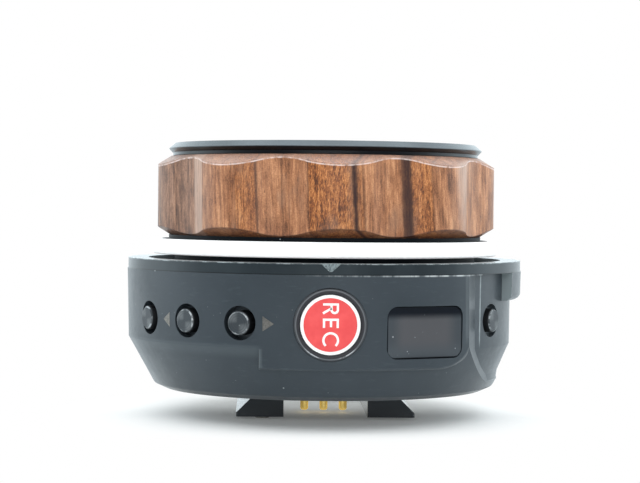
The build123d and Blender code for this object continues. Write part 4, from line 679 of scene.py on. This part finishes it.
def display_glass():
    """Tinted window: a painted dark reflection along the top, a painted brownish reflection below, and
    flecks of dust.
    """
    material, g = new_material("display_glass", (0.06, 0.06, 0.06))
    place = g.millimetres()
    from_middle = g.vector("SUBTRACT", place, tuple(window_middle))
    across = g.dot(from_middle, along_wall(display_bearing))
    rise = g.dot(from_middle, (0.0, 0.0, 1.0))
    below = g.minus(glass_half_height, rise)
    # Painted dark reflection along the top
    lit = g.span(below, dark_reflection_band * 0.55, dark_reflection_band * 1.35)
    # Painted brownish reflection, greyer to the sides and paler low down
    side = g.span(g.magnitude(across), *reflection_side)
    reflection_tone = g.mix(side, (0.083, 0.083, 0.090), (0.056, 0.064, 0.073))
    reflection_tone = g.mix(g.span(rise, *reflection_low), reflection_tone, (0.068, 0.078, 0.089))
    colour = g.mix(lit, (0.003, 0.005, 0.010), reflection_tone)
    dust = g.span(g.cells(place, 0.55), 0.05, 0.02, 0.0, 0.35)
    scratch = g.noise(g.join(g.times(across, 0.4), rise, 0.0), 1.5, 3.0, 0.7)
    dust = g.most(dust, g.span(scratch, 0.68, 0.74, 0.0, 0.14))
    for fleck_across, fleck_rise, radius in window_flecks:
        off = g.length(g.minus(across, fleck_across), g.minus(rise, fleck_rise))
        dust = g.most(dust, g.span(off, radius, radius * 0.4, 0.0, 0.7))
    colour = g.mix(dust, colour, (0.38, 0.40, 0.42))
    edges = (g.span(g.magnitude(value), *(half - inside for inside in glass_edge))
             for value, half in ((across, glass_half_width), (rise, glass_half_height)))
    colour = g.mix(g.most(*edges), colour, (0.006, 0.008, 0.011))
    rough = g.span(g.noise(place, 1.2, 3.0), 0.3, 0.7, 0.16, 0.24)
    g.surface(Base_Color=colour, Roughness=rough, IOR=1.25,
              Normal=g.bump(g.noise(place, 3.0, 2.0), 0.1, 0.003))
    return material


def clear_marker():
    """Clear plastic over a dark slot: grey with scuffs, and painted glints as bright specks."""
    material, g = new_material("clear_plastic", (0.2, 0.22, 0.23))
    place = g.millimetres()
    scuffs = g.noise(place, 2.2, 4.0, 0.7)
    colour = g.clouded(scuffs, (0.090, 0.115, 0.125), (0.230, 0.275, 0.290), 0.35, 0.65)
    # Painted glints: small bright specks
    colour = g.mix(g.span(g.cells(place, 1.6), 0.16, 0.06, 0.0, 0.8), colour, (0.62, 0.66, 0.68))
    g.surface(Base_Color=colour, Roughness=g.span(scuffs, 0.3, 0.7, 0.20, 0.40),
              Normal=g.bump(scuffs, 0.5, 0.02))
    return material


surround_outer = (5.62, 5.80)  # radii where the paler outer ring begins and is full
surround_ridge_radius = 5.86
surround_ridge_width = (0.12, 0.03)
surround_highlight_low = (-3.6, -4.8)  # the ridge's painted highlight is strongest low down
surround_highlight_side = (1.2, 2.4)  # and to both sides of the middle


def surround_rubber():
    """Black ring round the record button, with a faint painted highlight on its outer ridge, strongest low
    down on both sides.
    """
    material, g = new_material("surround_rubber", (0.03, 0.03, 0.034))
    place = g.millimetres()
    from_middle = g.vector("SUBTRACT", place, (rec_middle.x, 0.0, rec_middle.z))
    x, y, z = g.split(from_middle)
    radius = g.length(x, 0.0, z)
    grain = g.noise(place, 8.0, 3.0, 0.6)
    colour = g.clouded(grain, (0.022, 0.021, 0.026), (0.034, 0.033, 0.038))
    colour = g.mix(g.times(g.span(radius, *surround_outer), 0.7), colour, (0.065, 0.070, 0.078))
    # Painted highlight along the outer ridge, stronger low down to both sides
    ridge = g.near(g.minus(radius, surround_ridge_radius), *surround_ridge_width)
    low_down = g.times(g.span(z, *surround_highlight_low), g.span(g.magnitude(x), *surround_highlight_side))
    low_highlight = g.times(g.span(g.noise(place, 1.2, 3.0), 0.45, 0.60), low_down)
    ridge = g.times(ridge, g.plus(0.16, g.times(low_highlight, 0.8)))
    colour = g.mix(ridge, colour, (0.55, 0.57, 0.60))
    g.surface(Base_Color=colour, Roughness=g.span(grain, 0.3, 0.7, 0.42, 0.54), IOR=1.35,
              Normal=g.bump(grain, 0.4, 0.006))
    return material


# Simple finishes: the CAD nodes that wear one, its two colours, its roughness and further values
plain_finishes = {
    # Painted glow: the marking ring gives off a little light though it is no lamp
    "white_plastic": (["marking_ring"], (0.92, 0.93, 0.935), (0.95, 0.955, 0.96), 0.55,
                      {"Emission_Color": (1.0, 1.0, 1.0), "Emission_Strength": 0.30}),
    "rubber_black": (["cap_seal"], (0.022, 0.022, 0.024), (0.032, 0.032, 0.034), 0.55, {}),
    "rec_white": (["rec_button"], (0.90, 0.885, 0.875), (0.94, 0.93, 0.92), 0.35, {}),
    "rec_red": (["rec_disc"], (0.82, 0.062, 0.065), (0.87, 0.085, 0.086), 0.32, {}),
    # Painted glow: the gold pins give off a little light, brightening them in the shade under the housing
    "contact_gold": (["pogo_pin_left", "pogo_pin_middle", "pogo_pin_right", "pogo_barrels"],
                     (1.0, 0.74, 0.20), (1.0, 0.84, 0.36), 0.24,
                     {"metallic": 0.65, "Emission_Color": (1.0, 0.66, 0.16), "Emission_Strength": 0.28}),
    "pin_steel": (["lock_pin"], (0.22, 0.205, 0.19), (0.50, 0.49, 0.47), 0.16,
                  {"metallic": 1.0, "scale": 14.0}),
    "bearing_steel": (["stop_pin", "wheel_shaft", "bearing_inner_races", "bearing_outer_races",
                       "bearing_balls", "shaft_clip", "pogo_spring_left", "pogo_spring_middle",
                       "pogo_spring_right", "lock_spring"],
                      (0.60, 0.61, 0.62), (0.68, 0.69, 0.70), 0.22, {"metallic": 1.0}),
    "screw_steel": (["board_screws", "bezel_screws", "base_screws", "foot_screws", "hub_screw"],
                    (0.10, 0.10, 0.11), (0.14, 0.14, 0.15), 0.35, {"metallic": 1.0}),
    "brass": (["bearing_spacer", "usb_posts"],
              (0.70, 0.53, 0.26), (0.76, 0.60, 0.32), 0.28, {"metallic": 1.0}),
    "magnet_nickel": (["ring_magnets", "encoder_magnet"],
                      (0.66, 0.65, 0.62), (0.72, 0.71, 0.68), 0.18, {"metallic": 1.0}),
    "switch_body": (["button_switches", "rec_switch"],
                    (0.05, 0.05, 0.05), (0.065, 0.065, 0.065), 0.45, {}),
    "circuit_board": (["button_boards", "rec_board", "display_board", "main_board", "usb_board"],
                      (0.015, 0.075, 0.040), (0.025, 0.11, 0.06), 0.35, {}),
    "chip_black": (["board_components"], (0.03, 0.03, 0.03), (0.045, 0.045, 0.045), 0.5, {}),
    "inner_plastic": (["control_bracket", "battery_tray", "pogo_block"],
                      (0.022, 0.023, 0.025), (0.032, 0.033, 0.035), 0.5, {}),
    "shield_tin": (["radio_module", "usb_port"],
                   (0.62, 0.62, 0.62), (0.70, 0.70, 0.70), 0.3, {"metallic": 1.0}),
    "battery_foil": (["battery"], (0.60, 0.61, 0.62), (0.68, 0.69, 0.70), 0.35, {"metallic": 0.8}),
    "panel_glass": (["display_panel"], (0.02, 0.02, 0.022), (0.03, 0.03, 0.032), 0.15, {}),
}


def dress_frame():
    """Gives every CAD node its finish."""
    dress(["housing"], housing_finish())
    dress(["wood_grip"], wood())
    dress(["top_cap"], anodised("cap_black", (0.068, 0.079, 0.089), (0.086, 0.099, 0.111), 0.30,
                                metallic=0.35, coat=0.6, lines=(cap_underside_shade,)))
    dress(["bezel_ring"], anodised("bezel_black", (0.010, 0.016, 0.021), (0.020, 0.028, 0.034), 0.34,
                                   lines=(bezel_seam, bezel_arris_wear_highlight)))
    # The inner parts are darker and duller than the bezel: painted shade for the recess under the ring
    dress(["wheel_hub", "base_plate", "bearing_carrier"],
          anodised("inner_black", (0.005, 0.007, 0.010), (0.009, 0.012, 0.016), 0.45,
                   metallic=0.0, coat=0.0, specular=0.2))
    dress(["dovetail_foot_left", "dovetail_foot_right"],
          satin_black("feet_black", (0.010, 0.014, 0.019), (0.017, 0.022, 0.028), 0.36,
                      IOR=1.25, Coat_Weight=1.0, Coat_IOR=1.25, Coat_Roughness=0.10))
    dress(["rec_surround"], surround_rubber())
    dress(["display_window"], display_glass())
    dress(["index_marker"], clear_marker())
    for name, bearing in button_bearings.items():
        dress([name], turned_button(name, bearing))
    for name, (members, base, light, roughness, values) in plain_finishes.items():
        dress(members, plain(name, base, light, roughness, **values))


dress_frame()

# --- Markings: the letters on the record button, and an arrow beside each of the two shift buttons ---

letter_stroke = 0.39
letter_height = 2.70
letter_thickness = 0.03
record_letters_middle = 0.08  # to the right of the button's middle, in mm
letter_r_start = -3.66
letter_r_width = 1.95
bowl_reach = 0.10  # of the R's bowl, below mid height
bowl_inset = 0.12  # of the bowl, from the right end of the R
leg_top_inset = 0.25  # of the R's leg, to the left of the bowl's centre
leg_foot_inset = 0.24  # and from the right end of the R
letter_e_start = -1.08
letter_e_width = 1.58
middle_bar_height = 0.02
middle_bar_share = 0.92  # of the E's other bars' length
letter_c_middle = 2.61
letter_c_radius = 1.42
letter_c_opening = radians(43.0)
arc_steps = 28


def arc(centre, radius, start, end):
    """Points along an arc, from angle start to angle end."""
    steps = [start + (end - start) * i / arc_steps for i in range(arc_steps + 1)]
    return [(centre[0] + radius * cos(angle), centre[1] + radius * sin(angle)) for angle in steps]


def ribbon(mesh, points, width):
    """Adds a flat stroke of even width along points, in the plane of the lettering."""
    sides = []
    for i, point in enumerate(points):
        before = Vector(points[max(i - 1, 0)])
        after = Vector(points[min(i + 1, len(points) - 1)])
        along = (after - before).normalized()
        offset = Vector((-along.y, along.x)) * width / 2
        here = Vector(point)
        sides.append([mesh.verts.new((*(here + offset), 0.0)), mesh.verts.new((*(here - offset), 0.0))])
    for (left, right), (next_left, next_right) in zip(sides, sides[1:]):
        mesh.faces.new((left, right, next_right, next_left))


def record_letters():
    """R, E and C in lettering space: x runs along the line, y up the letters."""
    mesh = bmesh.new()
    half = letter_height / 2
    inner = letter_stroke / 2
    # R: stem, bowl and leg
    bowl_radius = (half + bowl_reach) / 2
    bowl_x = letter_r_start + letter_r_width - bowl_radius - bowl_inset
    bowl_y = half - bowl_radius
    leg_top = half - 2 * bowl_radius + inner
    leg_foot = letter_r_start + letter_r_width - leg_foot_inset
    ribbon(mesh, [(letter_r_start + inner, -half), (letter_r_start + inner, half)], letter_stroke)
    bowl = [(letter_r_start + letter_stroke, half - inner)]
    bowl += arc((bowl_x, bowl_y), bowl_radius - inner, radians(90), radians(-90))
    bowl += [(letter_r_start + letter_stroke, leg_top)]
    ribbon(mesh, bowl, letter_stroke)
    ribbon(mesh, [(bowl_x - leg_top_inset, leg_top), (leg_foot, -half)], letter_stroke)
    # E: stem and three bars
    ribbon(mesh, [(letter_e_start + inner, -half), (letter_e_start + inner, half)], letter_stroke)
    for height, share in ((half - inner, 1.0), (middle_bar_height, middle_bar_share), (inner - half, 1.0)):
        bar = [(letter_e_start + letter_stroke, height), (letter_e_start + letter_e_width * share, height)]
        ribbon(mesh, bar, letter_stroke)
    # C
    curve = arc((letter_c_middle, 0.0), letter_c_radius - inner, letter_c_opening,
                radians(360) - letter_c_opening)
    ribbon(mesh, curve, letter_stroke)
    return mesh


def thicken(mesh, depth):
    """Gives a flat mesh a back and sides."""
    bmesh.ops.recalc_face_normals(mesh, faces=mesh.faces)
    base = list(mesh.faces)
    grown = bmesh.ops.extrude_face_region(mesh, geom=base)
    raised = [item for item in grown["geom"] if isinstance(item, bmesh.types.BMVert)]
    bmesh.ops.translate(mesh, verts=raised, vec=Vector((0.0, 0.0, depth)))
    bmesh.ops.recalc_face_normals(mesh, faces=mesh.faces)


def add_piece(name, mesh, placing, material, body):
    """Adds a piece from a mesh in millimetres; placing puts its points into the part's frame."""
    data = bpy.data.meshes.new(name)
    for vert in mesh.verts:
        vert.co = placing(vert.co) * MM
    bmesh.ops.recalc_face_normals(mesh, faces=mesh.faces)
    mesh.to_mesh(data)
    mesh.free()
    data.materials.append(material)
    piece = bpy.data.objects.new(name, data)
    bpy.context.scene.collection.objects.link(piece)
    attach(piece, body)


def on_disc(point):
    """Lettering space to the record button: the line runs down, the letters' tops point right."""
    return Vector((record_letters_middle + point.y, disc_face_y - point.z, rec_middle.z - point.x))


def body_of(node):
    """The body that a CAD node moves with."""
    bodies = frame["record"]["behaviour"]["bodies"]
    return next(name for name, members in bodies.items() if node in members)


letters = record_letters()
thicken(letters, letter_thickness)
add_piece("record_letters", letters, on_disc,
          plain("letter_white", (0.90, 0.885, 0.875), (0.94, 0.93, 0.92), 0.4), body_of("rec_disc"))

arrow_height = 2.55
arrow_thickness = 0.03
arrow_columns = 8
arrow_tans = ((0.105, 0.100, 0.090), (0.160, 0.152, 0.138))
arrow_marks = (
    # name, bearing of the base, width, way it points and share of the full tan, which paints the back arrow
    # lighter and the forward one darker for the light that falls on them
    ("arrow_back", radians(-49.55), 1.75, -1, 1.35),
    ("arrow_forward", radians(-18.35), 2.0, 1, 0.86),
)
wall_stand = 0.15  # of the wall's upper edge, outside the bezel's radius
wall_lean = 0.3  # how much less the radius is over the next height
wall_height = 12.55


def wall_radius(height):
    """Outside radius of the side wall, which leans in a little towards the bottom."""
    return rim_radius + wall_stand - wall_lean * (rim_z - height) / wall_height


def add_arrow(name, bearing, width, way, material):
    """A printed arrow that follows the round wall."""
    mesh = bmesh.new()
    columns = []
    for i in range(arrow_columns):
        share = i / arrow_columns
        half = arrow_height / 2 * (1 - share)
        columns.append([mesh.verts.new((way * width * share, rise, 0.0)) for rise in (-half, half)])
    tip = mesh.verts.new((way * width, 0.0, 0.0))
    for (low, high), (next_low, next_high) in zip(columns, columns[1:]):
        mesh.faces.new((low, next_low, next_high, high))
    mesh.faces.new((*columns[-1], tip))
    thicken(mesh, arrow_thickness)

    def on_wall(point):
        height = button_z + point.y
        turn = bearing + point.x / rim_radius
        lift = abs(point.z)
        return outward(turn) * (wall_radius(height) + lift) + Vector((0.0, 0.0, height))

    add_piece(name, mesh, on_wall, material, "root")


def arrow_print(name, share):
    """Worn tan print, painted lighter or darker by share for the light that falls on it."""
    material, g = new_material(name + "_tan", (0.14, 0.13, 0.115))
    worn = g.noise(g.millimetres(), 2.4, 4.0, 0.6)
    dark, light = (tuple(share * level for level in tan) for tan in arrow_tans)
    g.surface(Base_Color=g.clouded(worn, dark, light, 0.38, 0.62), Roughness=0.5,
              Normal=g.bump(worn, 0.3, 0.005))
    return material


for name, bearing, width, way, share in arrow_marks:
    add_arrow(name, bearing, width, way, arrow_print(name, share))

# --- Springs: copies of the part's own, attached to the root, with the originals hidden ---

for joint in frame["record"]["behaviour"]["joints"]:
    for deforming in joint.get("deforming_nodes", ()):
        spring = nodes[deforming["node"]]
        coil = bpy.data.objects.new(deforming["node"] + "_coil", spring.data.copy())
        bpy.context.scene.collection.objects.link(coil)
        coil.matrix_world = spring.matrix_world
        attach(coil, "root")
        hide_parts(deforming["node"])
        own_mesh(coil)

# --- Camera ---


def add_camera():
    data = bpy.data.cameras.new("camera")
    data.sensor_width = sensor_width
    data.lens = focal_pixels * sensor_width / image_width
    camera = bpy.data.objects.new("camera", data)
    bpy.context.scene.collection.objects.link(camera)
    bpy.context.scene.camera = camera
    turn = radians(camera_azimuth)
    place = Vector((sin(turn) * camera_distance, -cos(turn) * camera_distance, camera_height)) * MM
    dip = radians(camera_pitch)
    look = Vector((-sin(turn) * cos(dip), cos(turn) * cos(dip), -sin(dip)))
    look = Matrix.Rotation(radians(camera_yaw), 3, "Z") @ look
    facing = look.to_track_quat("-Z", "Y").to_matrix().to_4x4()
    pose = facing @ Matrix.Rotation(radians(camera_roll), 4, "Z")
    pose.translation = place
    camera.matrix_world = pose


add_camera()

# --- Floor: it touches the lock pin in front and the rear edges of the feet ---

white = (1.0, 1.0, 1.0)
cool_white = (0.90, 0.975, 1.0)
cool_glint = (0.85, 0.95, 1.0)
floor_reach = 3.0  # in metres
lean = atan2(-pin_tip_z, foot_rear_y - middle_mm("lock_pin").y)
# The oval round the object outside which the floor is plain white, in mm
oval_squeeze = (1.15, 1.35)  # across, and front to back
oval_centre_y = -6.0
oval_fade = (27.0, 58.0)
glow_depth = (-12.0, 9.0)  # from front to back, the floor's painted glow grows
glow_levels = (0.11, 0.40)


def floor_material():
    """Pale floor: lit under and beside the object, where its shadow falls, with a painted glow that keeps
    the shadow pale and grows towards the back, and plain white farther out.
    """
    material, g = new_material("floor_white", (0.9, 0.9, 0.9))
    place = g.millimetres()
    x, y, z = g.split(place)
    paths = g.add("ShaderNodeLightPath").outputs
    seen = g.most(paths["Is Camera Ray"], paths["Is Glossy Ray"], paths["Is Transmission Ray"])
    reach = g.length(g.times(x, oval_squeeze[0]), g.times(g.minus(y, oval_centre_y), oval_squeeze[1]))
    away = g.span(reach, *oval_fade)
    colour = g.clouded(g.noise(place, 0.9, 4.0, 0.65), (0.84, 0.86, 0.855), (0.89, 0.90, 0.898))
    lit = g.add("ShaderNodeBsdfPrincipled", Base_Color=colour, Roughness=0.6)
    # Painted glow of the floor, stronger towards the back, keeps the shadow pale
    strength = g.span(y, *glow_depth, *glow_levels)
    through = g.add("ShaderNodeEmission", Color=(0.96, 1.0, 0.99), Strength=strength)
    soft = g.add("ShaderNodeAddShader")
    g.plug(soft.inputs[0], lit.outputs[0])
    g.plug(soft.inputs[1], through.outputs[0])
    glow = g.add("ShaderNodeEmission", Color=g.mix(paths["Is Camera Ray"], cool_glint, white), Strength=1.0)
    mixed = g.add("ShaderNodeMixShader", Fac=g.times(seen, away))
    g.plug(mixed.inputs[1], soft.outputs[0])
    g.plug(mixed.inputs[2], glow.outputs[0])
    g.add("ShaderNodeOutputMaterial", Surface=mixed.outputs[0])
    return material


def add_floor():
    mesh = bpy.data.meshes.new("floor")
    r = floor_reach
    mesh.from_pydata([(-r, -r, 0), (r, -r, 0), (r, r, 0), (-r, r, 0)], [], [(0, 1, 2, 3)])
    mesh.materials.append(floor_material())
    floor = bpy.data.objects.new("floor", mesh)
    bpy.context.scene.collection.objects.link(floor)
    rear_edge = Vector((0, foot_rear_y, 0)) * MM
    tilt = Matrix.Rotation(lean, 4, "X")
    floor.matrix_world = Matrix.Translation(rear_edge) @ tilt @ Matrix.Translation(-rear_edge)


add_floor()

# --- Light ---

tent_depth = (-0.80, 0.15)  # directions from the camera's side to the back, where the tent brightens
tent_levels = (0.12, 1.05)
tent_glint = 1.45  # how much brighter the tent is in reflections
at_object = (0, 0, 0.03)
# name, place and aim in metres, size, watts and colour
lamps = (
    ("left_softbox", (-0.66, 0.10, 0.26), at_object, (0.5, 0.6), 0.9, cool_glint),
    ("right_softbox", (0.66, 0.10, 0.26), at_object, (0.5, 0.6), 0.9, cool_glint),
    ("top_softbox", (0, 0.06, 0.75), at_object, (0.8, 0.6), 2.2, cool_white),
    ("front_softbox", (0, -0.50, 0.62), at_object, (0.8, 0.5), 1.85, white),
    ("low_softbox", (0, -0.45, 0.14), (0, 0, 0.005), (0.30, 0.05), 0.52, white),
)


def add_lamp(name, place, aim, size, power, colour):
    data = bpy.data.lights.new(name, "AREA")
    data.color = colour
    data.shape = "RECTANGLE"
    data.size, data.size_y = size
    data.energy = power
    lamp = bpy.data.objects.new(name, data)
    bpy.context.scene.collection.objects.link(lamp)
    facing = (Vector(aim) - Vector(place)).to_track_quat("-Z", "Y").to_matrix().to_4x4()
    lamp.matrix_world = Matrix.Translation(place) @ facing


def add_world():
    """A white tent, open and dim towards the camera."""
    world = bpy.data.worlds.new("studio")
    bpy.context.scene.world = world
    world.use_nodes = True
    g = Graph(world.node_tree)
    x, y, z = g.split(g.add("ShaderNodeTexCoord").outputs["Generated"])
    paths = g.add("ShaderNodeLightPath").outputs
    seen = g.most(paths["Is Camera Ray"], paths["Is Transmission Ray"])
    tent = g.times(g.span(y, *tent_depth, *tent_levels), g.blend(paths["Is Glossy Ray"], 1.0, tent_glint))
    tint = g.mix(seen, g.mix(paths["Is Glossy Ray"], cool_white, cool_glint), white)
    background = g.add("ShaderNodeBackground", Color=tint, Strength=g.blend(seen, tent, 1.0))
    g.add("ShaderNodeOutputWorld", Surface=background.outputs[0])


add_world()
for lamp in lamps:
    add_lamp(*lamp)

scene = bpy.context.scene
scene.view_settings.view_transform = "Standard"
